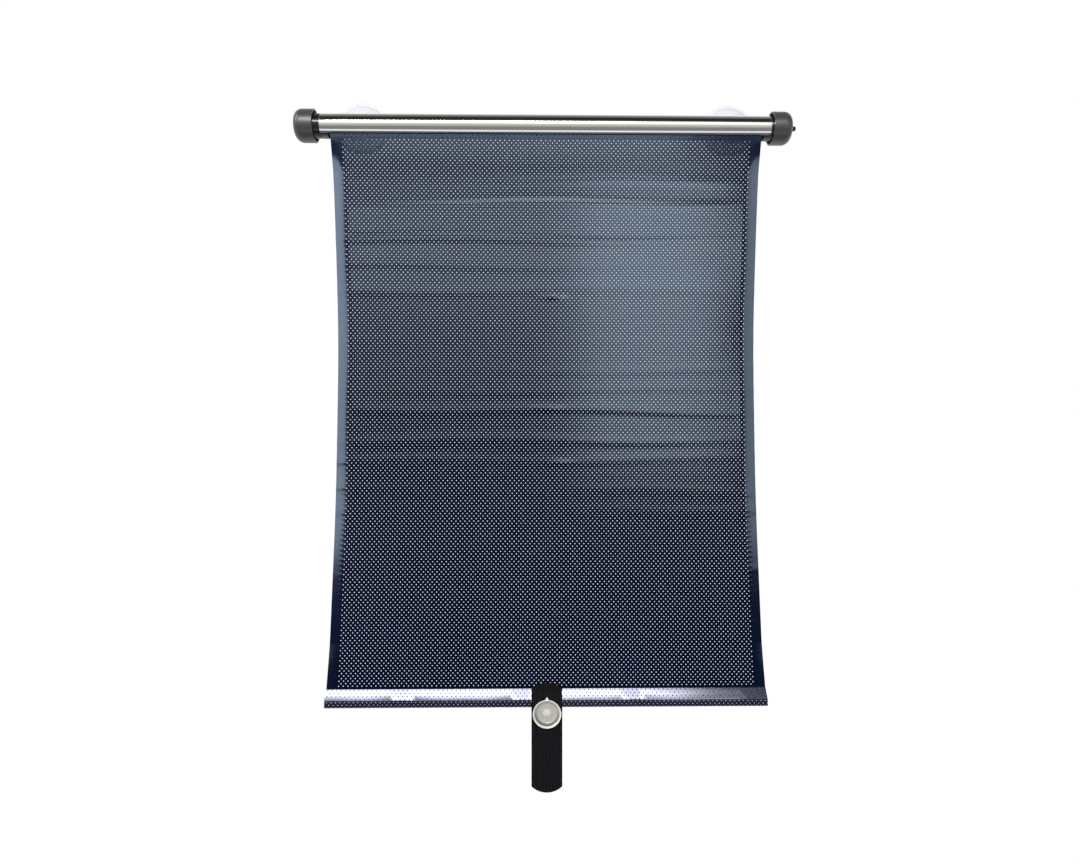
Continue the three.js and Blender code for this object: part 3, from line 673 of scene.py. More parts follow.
class Bench:
    """Adds, shapes and finishes pieces with Blender's own operators."""

    @staticmethod
    def clear() -> None:
        """Leaves edit mode and selects nothing."""
        if bpy.context.mode != "OBJECT":
            bpy.ops.object.mode_set(mode="OBJECT")
        bpy.ops.object.select_all(action="DESELECT")

    @staticmethod
    def only(piece: bpy.types.Object) -> None:
        """Selects one piece and makes it the active one."""
        Bench.clear()
        piece.select_set(True)
        bpy.context.view_layer.objects.active = piece

    @staticmethod
    def edit_all(piece: bpy.types.Object) -> None:
        """Enters edit mode with the whole piece selected."""
        Bench.only(piece)
        bpy.ops.object.mode_set(mode="EDIT")
        bpy.ops.mesh.select_all(action="SELECT")

    @staticmethod
    def settle(name: str) -> bpy.types.Object:
        """Names the new primitive and puts its place into its mesh."""
        piece = bpy.context.active_object
        piece.name = name
        piece.data.name = name
        bpy.ops.object.transform_apply(location=True, rotation=True, scale=True)
        return piece

    @staticmethod
    def modify(piece: bpy.types.Object, kind: str, **settings: object) -> None:
        """Adds a modifier and applies it.

        Args:
            piece: The piece.
            kind: The modifier's type.
            **settings: Its properties.
        """
        Bench.only(piece)
        modifier = piece.modifiers.new(kind.lower(), kind)
        for key, value in settings.items():
            setattr(modifier, key, value)
        bpy.ops.object.modifier_apply(modifier=modifier.name)

    @staticmethod
    def soften(
        piece: bpy.types.Object, width: float, segments: int = 2, angle: float = 35.0
    ) -> None:
        """Rounds the sharp edges of a piece.

        Args:
            piece: The piece.
            width: The bevel's width in metres.
            segments: Its steps.
            angle: The least angle in degrees of an edge that is rounded.
        """
        Bench.modify(
            piece,
            "BEVEL",
            width=width,
            segments=segments,
            limit_method="ANGLE",
            angle_limit=math.radians(angle),
            use_clamp_overlap=True,
        )

    @staticmethod
    def outward(piece: bpy.types.Object) -> None:
        """Merges doubles and points all faces outwards."""
        Bench.edit_all(piece)
        bpy.ops.mesh.remove_doubles(threshold=1e-7)
        bpy.ops.mesh.normals_make_consistent(inside=False)
        bpy.ops.object.mode_set(mode="OBJECT")

    @staticmethod
    def smooth(piece: bpy.types.Object, angle: float = 32.0) -> None:
        """Shades a piece smooth below an angle in degrees."""
        Bench.only(piece)
        bpy.ops.object.shade_smooth_by_angle(angle=math.radians(angle))

    @staticmethod
    def pick(piece: bpy.types.Object, test: Callable[[Vector], bool]) -> None:
        """Selects the vertices that pass a test on their place, and enters edit mode.

        Args:
            piece: The piece.
            test: Says whether a place is wanted.
        """
        Bench.only(piece)
        bpy.ops.object.mode_set(mode="EDIT")
        bpy.ops.mesh.select_mode(type="VERT")
        bpy.ops.mesh.select_all(action="DESELECT")
        bpy.ops.object.mode_set(mode="OBJECT")
        for vertex in piece.data.vertices:
            vertex.select = test(vertex.co)
        bpy.ops.object.mode_set(mode="EDIT")

    @staticmethod
    def draw_out(move: Vector) -> None:
        """Extrudes what is selected by a move."""
        bpy.ops.mesh.extrude_region_move(TRANSFORM_OT_translate={"value": tuple(move)})

    @staticmethod
    def turned(
        name: str, profile: Profile, axis: Axis, centre: Vector, segments: int = 96
    ) -> bpy.types.Object:
        """A turned piece: a circle drawn out and resized along its profile.

        Args:
            name: The piece's name.
            profile: Places along the axis from the centre, with their radii. A profile that
                starts or ends on the axis is closed there, and any other is a closed ring.
            axis: The piece's axis.
            centre: The point that the places are counted from.
            segments: The steps round the axis.

        Returns:
            The piece.
        """
        Bench.clear()
        step = axis.vector()
        points = list(profile)
        starts_shut = points[0][1] == 0
        if starts_shut:
            points = points[1:]
        ends_shut = points[-1][1] == 0
        if ends_shut:
            points = points[:-1]
        place, radius = points[0]
        bpy.ops.mesh.primitive_circle_add(
            vertices=segments,
            radius=radius,
            fill_type="TRIFAN" if starts_shut else "NOTHING",
            location=centre + step * place,
            rotation=axis.turn(),
        )
        piece = Bench.settle(name)
        bpy.ops.object.mode_set(mode="EDIT")
        bpy.ops.mesh.select_all(action="SELECT")
        if starts_shut:
            bpy.ops.mesh.region_to_loop()
        for (place, radius), (after, wide) in zip(points, points[1:]):
            Bench.draw_out(step * (after - place))
            ratio = wide / radius
            bpy.ops.transform.resize(
                value=tuple(1.0 if part else ratio for part in step),
                center_override=tuple(centre + step * after),
            )
        if ends_shut:
            bpy.ops.mesh.extrude_region_move()
            bpy.ops.mesh.merge(type="CENTER")
        elif not starts_shut:
            bpy.ops.mesh.select_all(action="DESELECT")
            bpy.ops.mesh.select_mode(type="EDGE")
            bpy.ops.mesh.select_non_manifold()
            bpy.ops.mesh.bridge_edge_loops()
            bpy.ops.mesh.select_mode(type="VERT")
        bpy.ops.object.mode_set(mode="OBJECT")
        Bench.outward(piece)
        return piece

    @staticmethod
    def from_node(name: str, node: bpy.types.Object) -> bpy.types.Object:
        """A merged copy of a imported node's mesh, to be finished further.

        Args:
            name: The new piece's name.
            node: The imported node.

        Returns:
            The copy.
        """
        Bench.clear()
        piece = bpy.data.objects.new(name, node.data.copy())
        piece.data.name = name
        bpy.context.scene.collection.objects.link(piece)
        Bench.edit_all(piece)
        bpy.ops.mesh.remove_doubles(threshold=1e-6)
        bpy.ops.mesh.dissolve_limited(angle_limit=math.radians(1.0))
        bpy.ops.mesh.customdata_custom_splitnormals_clear()
        bpy.ops.object.mode_set(mode="OBJECT")
        return piece

    @staticmethod
    def softened(name: str, node: bpy.types.Object, width: float) -> bpy.types.Object:
        """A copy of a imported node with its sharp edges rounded.

        Args:
            name: The new piece's name.
            node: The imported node.
            width: The rounding's width in metres.

        Returns:
            The copy.
        """
        piece = Bench.from_node(name, node)
        Bench.soften(piece, width, 2, 50.0)
        Bench.smooth(piece, 40.0)
        return piece


# The sub-assemblies


@dataclass
class Cassette:
    """The chromed shell, its caps and hubs, and the button."""

    nodes: dict[str, bpy.types.Object]
    body: str = "cassette"
    axis_y: float = -0.0255
    axis_z: float = -0.0065
    radius: float = 11.0 * MM
    wall: float = 0.7 * MM
    front_lip: float = 40.0
    rear_lip: float = 28.0
    lip_round: float = 0.22 * MM
    cap_radius: float = 14.5 * MM
    cap_wall: float = 1.6 * MM
    cap_round: float = 7.5 * MM
    cap_inset: float = 3.75 * MM
    mouth_round: float = 0.25 * MM
    bore_round: float = 0.2 * MM
    button_hole: float = 2.6 * MM
    hub_round: float = 0.15 * MM
    button_round: float = 0.12 * MM

    def axis(self) -> Vector:
        """A point of the roller's axis."""
        return Vector((0.0, self.axis_y, self.axis_z))

    def build(self) -> list[bpy.types.Object]:
        """Makes the cassette's pieces.

        Returns:
            The pieces.
        """
        made = [self.shell()]
        for side in Side:
            made.append(self.cap(side))
            made.append(self.hub(side))
        made.append(self.button())
        return made

    def shell(self) -> bpy.types.Object:
        """The chromed C section with rounded lips.

        Returns:
            The piece.
        """
        low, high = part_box("cassette_shell")
        Bench.clear()
        bpy.ops.mesh.primitive_circle_add(
            vertices=360,
            radius=self.radius,
            location=(low.x, self.axis_y, self.axis_z),
            rotation=Axis.X.turn(),
        )
        piece = Bench.settle("chromed_shell")

        def in_slot(place: Vector) -> bool:
            """Whether a point lies in the slot between the lips."""
            down = math.degrees(math.atan2(place.y - self.axis_y, self.axis_z - place.z))
            return -self.front_lip + 0.5 < down < self.rear_lip - 0.5

        Bench.pick(piece, in_slot)
        bpy.ops.mesh.delete(type="VERT")
        bpy.ops.mesh.select_all(action="SELECT")
        Bench.draw_out(Vector((high.x - low.x, 0.0, 0.0)))
        bpy.ops.object.mode_set(mode="OBJECT")
        self.face_out(piece)
        Bench.modify(piece, "SOLIDIFY", thickness=self.wall, offset=-1.0)
        Bench.soften(piece, self.lip_round, 3)
        Bench.smooth(piece)
        CHROME.dress(piece)
        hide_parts("cassette_shell")
        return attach(piece, self.body)

    def face_out(self, piece: bpy.types.Object) -> None:
        """Turns the open sheet's faces away from the axis if they point at it."""
        face = piece.data.polygons[0]
        if (face.center - self.axis()).dot(face.normal) < 0:
            Bench.edit_all(piece)
            bpy.ops.mesh.flip_normals()
            bpy.ops.object.mode_set(mode="OBJECT")

    def cap(self, side: Side) -> bpy.types.Object:
        """A satin cap whose mouth faces the shell.

        Args:
            side: The end of the cassette.

        Returns:
            The piece.
        """
        node = f"end_cap_{side.word}"
        low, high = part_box(node)
        mouth, end = (low.x, high.x) if side is Side.RIGHT else (high.x, low.x)
        s = side.value
        bore = self.cap_radius - self.cap_wall
        hole = self.button_hole if side is Side.RIGHT else 0.0
        inside = end - s * self.cap_wall
        quarter = [math.radians(7.5 * i) for i in range(13)]
        crown = [
            (
                end - s * self.cap_round * (1 - math.cos(a)),
                self.cap_radius - self.cap_round * (1 - math.sin(a)),
            )
            for a in quarter
        ]
        profile = [
            (end, hole),
            *crown,
            (mouth + s * self.mouth_round, self.cap_radius),
            (mouth, self.cap_radius - self.mouth_round),
            (mouth, bore + self.bore_round),
            (mouth + s * self.bore_round, bore),
            (inside - s * self.cap_inset, bore),
            (inside, bore - self.cap_inset),
            (inside, hole),
        ]
        piece = Bench.turned(f"satin_cap_{side.word}", profile, Axis.X, self.axis(), 128)
        Bench.smooth(piece, 40.0)
        CAP.dress(piece)
        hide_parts(node)
        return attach(piece, self.body)

    def hub(self, side: Side) -> bpy.types.Object:
        """The glossy plug between the shell and a cap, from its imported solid.

        Args:
            side: The end of the cassette.

        Returns:
            The piece.
        """
        node = f"hub_{side.word}"
        piece = Bench.softened(f"gloss_hub_{side.word}", self.nodes[node], self.hub_round)
        HUB.dress(piece)
        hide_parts(node)
        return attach(piece, self.body)

    def button(self) -> bpy.types.Object:
        """The push button with its flange and square stem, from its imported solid.

        Returns:
            The piece.
        """
        piece = Bench.softened("push_button", self.nodes["release_button"], self.button_round)
        BUTTON.dress(piece)
        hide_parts("release_button")
        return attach(piece, "button")


@dataclass
class DrawnFilm:
    """The perforated film, from the roller to the hem, and the turns left on the roller."""

    plane: float = -0.0316
    top: float = -0.0082
    slot_level: float = -0.0149
    hem_top: float = -0.51247
    axis_y: float = -0.0255
    axis_z: float = -0.0065
    top_half: float = 0.194
    waist_half: float = 0.1875
    foot_half: float = 0.1985
    drop: float = 0.522
    waist_drop: float = 0.206
    pitch: float = 3.96 * MM
    row: float = 2.275 * MM
    hole: float = 0.475 * MM
    margin: float = 8.4 * MM
    travel: float = 0.487
    curl: float = 3.6 * MM
    curl_width: float = 12.0 * MM
    edge_wave: float = 0.4 * MM
    ridge_width: float = 4.2 * MM
    crease_width: float = 2.2 * MM
    flat_lead: float = 4.0 * MM
    fade_in: float = 30.0 * MM
    fade_out: float = 40.0 * MM
    wound_inset: float = 1.2 * MM
    wound_inner: float = 5.5 * MM
    wound_outer: float = 6.05 * MM
    margin_steps: tuple[float, ...] = (7.0 * MM, 4.8 * MM, 2.4 * MM, 0.0)
    levels: tuple[float, ...] = (
        -0.057, -0.0782, -0.1096, -0.1321, -0.1545, -0.1994, -0.2264,
        -0.2443, -0.2623, -0.2892, -0.3072, -0.3341, -0.3521, -0.409, -0.454,
    )
    heights_mm: tuple[float, ...] = (
        0.12, 0.3, 0.34, 0.22, 0.4, 0.2, 0.3,
        0.22, 0.36, 0.28, 0.3, 0.26, 0.2, 0.1, 0.08,
    )
    creases: tuple[tuple[float, float, float, float], ...] = (
        (0.006, -0.161, 9.0 * MM, 0.5),
        (0.002, -0.261, 12.0 * MM, 0.42),
        (0.01, -0.309, 10.0 * MM, 0.4),
    )

    def half_width(self, z: np.ndarray) -> np.ndarray:
        """The film's half width at each height.

        Args:
            z: The heights.

        Returns:
            The half widths.
        """
        drop = np.clip(self.axis_z - z, 0.0, self.drop)
        above = np.clip(1.0 - drop / self.waist_drop, 0.0, 1.0) ** 1.8
        below = np.clip((drop - self.waist_drop) / (self.drop - self.waist_drop), 0.0, 1.0) ** 1.7
        return (
            self.waist_half
            + (self.top_half - self.waist_half) * above
            + (self.foot_half - self.waist_half) * below
        )

    def relief(self, x: np.ndarray, z: np.ndarray) -> np.ndarray:
        """How far the film stands out of its plane, in metres.

        Args:
            x: Places across the film.
            z: Heights.

        Returns:
            The offsets along Y.
        """
        out = np.zeros_like(x)
        for i, (level, height) in enumerate(zip(self.levels, self.heights_mm)):
            tilt = 0.008 * math.sin(2.1 * i)
            lean = z - level - tilt * x - 0.0016 * np.sin(x * 23.0 + 1.7 * i)
            reach = 0.62 + 0.38 * np.sin(x * 9.0 + 0.9 * i + 0.6)
            out += height * MM * reach * np.exp(-((lean / self.ridge_width) ** 2))
        for cx, cz, size, height in self.creases:
            near = np.exp(-(((x - cx) / size) ** 2) - (((z - cz) / self.crease_width) ** 2))
            out += height * MM * near
        edge = np.clip(np.abs(x) / self.half_width(z), 0.0, 1.0) ** 14
        hang = np.clip((np.abs(x) - self.half_width(z)) / self.curl_width + 1.0, 0.0, 1.0) ** 1.4
        out += self.edge_wave * edge * np.sin(z * 41.0) - self.curl * hang
        fade_top = np.clip((self.slot_level - self.flat_lead - z) / self.fade_in, 0.0, 1.0)
        fade_foot = np.clip((z - self.hem_top) / self.fade_out, 0.0, 1.0)
        return out * fade_top * fade_foot

    def lattice(self) -> tuple[np.ndarray, list[tuple[int, ...]], float]:
        """The flat film: six-sided holes on a staggered grid, joined by narrow bridges.

        Returns:
            The points in metres, the faces, and the area of the holes.
        """
        half = self.waist_half
        columns = int((2 * (half - self.margin)) / self.pitch)
        rows = int((self.top - self.hem_top) / self.row)
        rows -= 1 - rows % 2
        start = -(columns - 0.5) * self.pitch / 2
        spots = [math.radians(30 + 60 * k) for k in range(6)]
        ring = self.hole * np.array([[math.cos(a), math.sin(a)] for a in spots])
        first = self.top - self.row / 2
        centres = np.array(
            [
                (start + (i + 0.5 * (j % 2)) * self.pitch, first - j * self.row)
                for j in range(rows)
                for i in range(columns)
            ]
        )
        points = (centres[:, None, :] + ring[None, :, :]).reshape(-1, 2).tolist()

        def at(i: int, j: int, k: int) -> int:
            """The number of a hole's corner."""
            return (j * columns + i) * 6 + k % 6

        faces: list[tuple[int, ...]] = []
        for j in range(rows):
            shift = j % 2
            for i in range(columns):
                if i + 1 < columns:
                    faces.append((at(i, j, 0), at(i, j, 5), at(i + 1, j, 3), at(i + 1, j, 2)))
                if j == 0:
                    continue
                left, right = i - 1 + shift, i + shift
                if right < columns:
                    above = (at(right, j - 1, 4), at(right, j - 1, 3))
                    faces.append((at(i, j, 1), at(i, j, 0), *above))
                if left >= 0:
                    faces.append((at(i, j, 2), at(i, j, 1), at(left, j - 1, 5), at(left, j - 1, 4)))
                if left >= 0 and right < columns:
                    faces.append((at(i, j, 1), at(right, j - 1, 3), at(left, j - 1, 5)))
                if right < columns and i + 1 < columns:
                    faces.append((at(i, j, 0), at(i + 1, j, 2), at(right, j - 1, 4)))
        self.edges(points, faces, at, columns, rows)
        area = columns * rows * 1.5 * math.sqrt(3) * self.hole**2
        return np.array(points), faces, area

    def edges(
        self,
        points: list[list[float]],
        faces: list[tuple[int, ...]],
        at: Callable[[int, int, int], int],
        columns: int,
        rows: int,
    ) -> None:
        """Adds the plain margins round the holes.

        Args:
            points: The points so far, which grow.
            faces: The faces so far, which grow.
            at: Numbers a hole's corner by column, row and corner.
            columns: The holes in a row.
            rows: The rows.
        """

        def add(x: float, z: float) -> int:
            """Adds a point and returns its number."""
            points.append([x, z])
            return len(points) - 1

        half, last = self.waist_half, columns - 1
        left: list[int] = []
        right: list[int] = []
        for j in range(rows):
            even = j % 2 == 0
            left += [at(0, j, k) for k in ((1, 2, 3, 4) if even else (2, 3))]
            right += [at(last, j, k) for k in ((0, 5) if even else (1, 0, 5, 4))]
        top = [at(0, 0, 1), at(0, 0, 0)]
        foot = [at(0, rows - 1, 4), at(0, rows - 1, 5)]
        for i in range(1, columns):
            top += [at(i, 0, k) for k in (2, 1, 0)]
            foot += [at(i, rows - 1, k) for k in (3, 4, 5)]
        outer_top = [add(points[n][0], self.top) for n in top]
        outer_foot = [add(points[n][0], self.hem_top) for n in foot]
        strips = [(top, outer_top), (foot, outer_foot)]
        sides = (
            (-1, [outer_top[0], *left, outer_foot[0]]),
            (1, [outer_top[-1], *right, outer_foot[-1]]),
        )
        for side, line in sides:
            for inset in self.margin_steps:
                beside = [add(side * (half - inset), points[n][1]) for n in line]
                strips.append((line, beside))
                line = beside
        for inner, outer in strips:
            for n in range(len(inner) - 1):
                faces.append((inner[n], inner[n + 1], outer[n + 1], outer[n]))

    def build(self) -> list[bpy.types.Object]:
        """Makes the film's pieces.

        Returns:
            The pieces.
        """
        return [self.sheet(), self.turns()]

    def sheet(self) -> bpy.types.Object:
        """The drawn film with all its holes, its waist and its ripples.

        Returns:
            The piece.
        """
        flat, faces, holes = self.lattice()
        wide = flat[:, 0] * self.half_width(flat[:, 1]) / self.waist_half
        depth = self.plane - self.relief(wide, flat[:, 1])
        mesh = bpy.data.meshes.new("perforated_film")
        mesh.from_pydata(np.stack([wide, depth, flat[:, 1]], axis=1).tolist(), [], faces)
        mesh.validate()
        mesh.update()
        piece = bpy.data.objects.new("perforated_film", mesh)
        bpy.context.scene.collection.objects.link(piece)
        Bench.edit_all(piece)
        bpy.ops.mesh.normals_make_consistent(inside=False)
        bpy.ops.object.mode_set(mode="OBJECT")
        bpy.ops.object.shade_smooth()
        FILM.dress(piece)
        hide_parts("film")
        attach(piece, "cassette")
        heights = np.linspace(self.hem_top, self.top, 400)
        length = self.top - self.hem_top
        area = float(np.mean(2 * self.half_width(heights))) * length - holes
        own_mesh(piece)
        return piece

    def turns(self) -> bpy.types.Object:
        """The turns of film that stay on the roller.

        Returns:
            The piece.
        """
        low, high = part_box("roller_tube")
        start, end = low.x + self.wound_inset, high.x - self.wound_inset
        inner, outer = self.wound_inner, self.wound_outer
        profile = [(start, inner), (start, outer), (end, outer), (end, inner)]
        centre = Vector((0.0, self.axis_y, self.axis_z))
        piece = Bench.turned("wound_film", profile, Axis.X, centre, 64)
        Bench.soften(piece, (outer - inner) / 6, 1, 50.0)
        Bench.smooth(piece)
        FILM.dress(piece)
        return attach(piece, "roller")


@dataclass
class Hem:
    """The folded hem with its bar, the pull strap and the small cup on it."""

    body: str = "hem"
    plane: float = -0.0316
    foot: float = -0.5285
    height: float = 16.0 * MM
    depth: float = 5.15 * MM
    nose: float = 7.0 * MM
    film: float = 0.3 * MM
    half: float = 0.1985
    fold: float = 0.4 * MM
    bend_steps: int = 20
    pocket_cuts: int = 48
    taper_share: float = 0.0042
    ripple: float = 0.12 * MM
    strap_width: float = 27.5 * MM
    strap_length: float = 96.8 * MM
    strap_thick: float = 1.5 * MM
    strap_rise: float = 5.6 * MM
    strap_end: float = 20.0 * MM
    strap_plane: float = -6.05 * MM
    cup_drop: float = 3.3 * MM
    tab_thick: float = 0.7 * MM
    tab_tip: float = 0.3 * MM

    def build(self) -> list[bpy.types.Object]:
        """Makes the hem's pieces.

        Returns:
            The pieces.
        """
        return [self.pocket(), self.strap(), self.cup()]

    def pocket(self) -> bpy.types.Object:
        """The film folded round the bar and welded at the top.

        Returns:
            The piece.
        """
        radius = self.depth / 2
        back = self.plane + self.film / 2
        top = self.foot + self.height
        bend = self.foot + radius
        Bench.clear()
        bpy.ops.mesh.primitive_plane_add(
            size=1.0,
            location=(0.0, back, (top + bend) / 2),
            rotation=(math.pi / 2, 0.0, 0.0),
        )
        bpy.context.active_object.scale = (2 * self.half, top - bend, 1.0)
        piece = Bench.settle("hem_pocket")
        Bench.pick(piece, lambda place: place.z < bend + 1e-6)
        bpy.ops.mesh.spin(
            steps=self.bend_steps,
            angle=math.pi,
            center=(0.0, back - radius, bend),
            axis=(1.0, 0.0, 0.0),
        )
        bpy.ops.object.mode_set(mode="OBJECT")
        lowest = min(vertex.co.z for vertex in piece.data.vertices)
        if lowest > self.foot + radius / 2:
            self.swing_down(piece, bend, back)
        front = back - 2 * radius
        Bench.pick(piece, lambda place: place.y < front + 1e-5 and abs(place.z - bend) < 1e-5)
        Bench.draw_out(Vector((0.0, 0.0, self.nose - radius)))
        rise = self.height - self.nose - 2 * self.fold
        Bench.draw_out(Vector((0.0, self.fold / 4, self.fold)))
        Bench.draw_out(Vector((0.0, 2 * radius - self.fold, rise)))
        Bench.draw_out(Vector((0.0, 0.0, self.fold)))
        bpy.ops.mesh.select_all(action="SELECT")
        bpy.ops.mesh.remove_doubles(threshold=1e-7)
        bpy.ops.mesh.bisect(plane_co=(0, 0, 0), plane_no=(1, 0, 0))
        bpy.ops.object.mode_set(mode="OBJECT")
        self.divide(piece)
        self.taper(piece)
        Bench.modify(piece, "SOLIDIFY", thickness=self.film * 0.8, offset=0.0)
        Bench.smooth(piece, 18.0)
        HEM_FILM.dress(piece)
        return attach(piece, self.body)

    def swing_down(self, piece: bpy.types.Object, bend: float, back: float) -> None:
        """Mirrors the turned edge below the bend if the spin went the other way."""
        for vertex in piece.data.vertices:
            if vertex.co.z > bend + 1e-6 and vertex.co.y < back - 1e-6:
                vertex.co.z = 2 * bend - vertex.co.z

    def divide(self, piece: bpy.types.Object) -> None:
        """Cuts the pocket across, so that the taper and the ripple have points along its length."""
        Bench.only(piece)
        bpy.ops.object.mode_set(mode="EDIT")
        for i in range(1, self.pocket_cuts):
            x = -self.half + 2 * self.half * i / self.pocket_cuts
            bpy.ops.mesh.select_all(action="SELECT")
            bpy.ops.mesh.bisect(plane_co=(x, 0, 0), plane_no=(1, 0, 0))
        bpy.ops.object.mode_set(mode="OBJECT")

    def taper(self, piece: bpy.types.Object) -> None:
        """Draws the upper corners in and lets the welded face ripple."""
        for vertex in piece.data.vertices:
            up = (vertex.co.z - self.foot) / self.height
            vertex.co.x *= 1.0 - self.taper_share * max(up, 0.0)
            free = (vertex.co.z - self.foot - self.nose) / (self.height - self.nose)
            free = min(max(free, 0.0), 1.0)
            wave = math.sin(vertex.co.x * 62.0) + 0.6 * math.sin(vertex.co.x * 117.0 + 1.0)
            if vertex.co.y < self.plane - 0.3 * MM:
                vertex.co.y += self.ripple * wave * free * (1.0 - free) * 4.0

    def strap_section(self, z: float) -> float:
        """The Y of the strap's middle at a height, where it leans back over the hem."""
        lean = (self.height - self.nose) / (self.depth - 0.45 * MM)
        low = self.foot + self.nose - self.strap_thick
        upper = self.plane - 0.45 * MM - 1.14 * MM
        face = self.plane + self.strap_plane
        if z <= low:
            return face
        along = face + (z - low) / lean
        return min(along, upper)

    def strap(self) -> bpy.types.Object:
        """The webbing with its curved ends and turned-over edges.

        Returns:
            The piece.
        """
        across, along = 22, 80
        Bench.clear()
        bpy.ops.mesh.primitive_grid_add(
            x_subdivisions=across,
            y_subdivisions=along,
            size=1.0,
            location=(0.0, 0.0, 0.0),
            rotation=(math.pi / 2, 0.0, 0.0),
        )
        piece = Bench.settle("webbing_strap")
        top = self.foot + self.height + self.strap_rise
        for vertex in piece.data.vertices:
            x = vertex.co.x * self.strap_width
            share = vertex.co.z + 0.5
            bow = self.strap_end - math.sqrt(self.strap_end**2 - x**2)
            upper, lower = top - bow, top - self.strap_length + bow
            z = lower + (upper - lower) * share
            droop = 0.5 * MM * math.sin((self.foot - z) * 38.0) if z < self.foot else 0.0
            edge = (2 * abs(x) / self.strap_width) ** 8
            vertex.co = Vector((x, self.strap_section(z) + droop * 0.6 + 0.12 * MM * edge, z))
        Bench.modify(piece, "SOLIDIFY", thickness=self.strap_thick, offset=0.0)
        Bench.outward(piece)
        Bench.soften(piece, 0.45 * MM, 3, 50.0)
        Bench.smooth(piece, 50.0)
        WEBBING.dress(piece)
        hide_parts("pull_strap")
        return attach(piece, self.body)

    def cup(self) -> bpy.types.Object:
        """The small cup that opens away from the strap, with its neck, head and lifting tab.

        Returns:
            The piece.
        """
        front = self.plane + self.strap_plane - self.strap_thick / 2
        centre = Vector((0.0, front, self.foot - self.cup_drop))
        profile_mm = [
            (3.0, 0.0), (3.0, 3.1), (2.7, 3.5), (1.8, 3.5), (1.8, 2.2),
            (-0.3, 2.2), (-0.3, 8.9), (-0.7, 9.6), (-4.1, 12.45), (-4.6, 12.65),
            (-4.9, 12.6), (-5.0, 12.3), (-4.9, 12.0), (-4.3, 11.7),
            (-2.2, 9.0), (-1.75, 8.3), (-1.6, 7.4), (-1.6, 3.2), (-1.9, 2.6), (-2.0, 0.0),
        ]
        profile = [(place * MM, radius * MM) for place, radius in profile_mm]
        piece = Bench.turned("strap_suction_cup", profile, Axis.Y, centre, 96)
        tab = self.tab(centre)
        Bench.only(piece)
        tab.select_set(True)
        bpy.context.view_layer.objects.active = piece
        bpy.ops.object.join()
        Bench.smooth(piece, 45.0)
        STRAP_CUP.dress(piece)
        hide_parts("strap_cup")
        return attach(piece, self.body)

    def tab(self, centre: Vector) -> bpy.types.Object:
        """The pointed tab on the cup's rim.

        Args:
            centre: The cup's centre at the strap's face.

        Returns:
            The piece, to be joined to the cup.
        """
        rim = centre + Vector((0.0, -4.65 * MM, 12.0 * MM))
        Bench.clear()
        bpy.ops.mesh.primitive_cube_add(size=1.0, location=rim + Vector((0.0, 0.0, 1.5 * MM)))
        bpy.context.active_object.scale = (4.0 * MM, self.tab_thick, 3.0 * MM)
        piece = Bench.settle("cup_tab")
        Bench.pick(piece, lambda place: place.z > rim.z + 2 * MM)
        bpy.ops.transform.resize(
            value=(0.15, self.tab_tip / self.tab_thick, 1.0),
            center_override=tuple(rim + Vector((0.0, 0.0, 3.0 * MM))),
        )
        bpy.ops.object.mode_set(mode="OBJECT")
        Bench.soften(piece, 0.15 * MM, 2, 30.0)
        return piece


@dataclass
class Holders:
    """The clips on the shell and the clear cups that hold them to the glass."""

    nodes: dict[str, bpy.types.Object]
    body: str = "cassette"
    radius_mm: float = 25.0
    clip_round: float = 0.15 * MM

    def build(self) -> list[bpy.types.Object]:
        """Makes the clips and the cups.

        Returns:
            The pieces.
        """
        made = []
        for side in Side:
            made.append(self.clip(side))
            made.append(self.cup(side))
        return made

    def clip(self, side: Side) -> bpy.types.Object:
        """A clear clip with softened edges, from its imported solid.

        Args:
            side: The end of the cassette.

        Returns:
            The piece.
        """
        node = f"cup_clip_{side.word}"
        piece = Bench.softened(f"clear_clip_{side.word}", self.nodes[node], self.clip_round)
        CLIP.dress(piece)
        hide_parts(node)
        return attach(piece, self.body)

    def cup(self, side: Side) -> bpy.types.Object:
        """A clear bell with a thin flat rim, a thick hub, a neck and a head.

        Args:
            side: The end of the cassette.

        Returns:
            The piece.
        """
        node = f"suction_cup_{side.word}"
        low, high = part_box(node)
        centre = Vector(((low.x + high.x) / 2, 0.0, (low.z + high.z) / 2))
        hollow = [(-5.4 * (1 - (i / 10) ** 2), 22.6 * i / 10) for i in range(11)]
        bell = [
            (-0.8 - 6.3 * (1 - (1 - i / 10) ** 1.2), self.radius_mm - 17.5 * i / 10)
            for i in range(11)
        ]
        hollow[0] = (hollow[1][0], 0.0)
        profile_mm = [
            *hollow, (0.0, 24.4), (-0.15, 24.85), (-0.45, self.radius_mm), *bell,
            (-8.4, 7.5), (-8.7, 7.2), (-8.7, 2.5), (-11.1, 2.5), (-11.1, 4.1),
            (-11.4, 4.4), (-12.7, 4.4), (-13.0, 4.1), (-13.0, 0.0),
        ]
        profile = [(place * MM, radius * MM) for place, radius in profile_mm]
        piece = Bench.turned(f"clear_cup_{side.word}", profile, Axis.Y, centre, 128)
        Bench.smooth(piece, 40.0)
        CUP.dress(piece)
        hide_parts(node)
        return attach(piece, self.body)


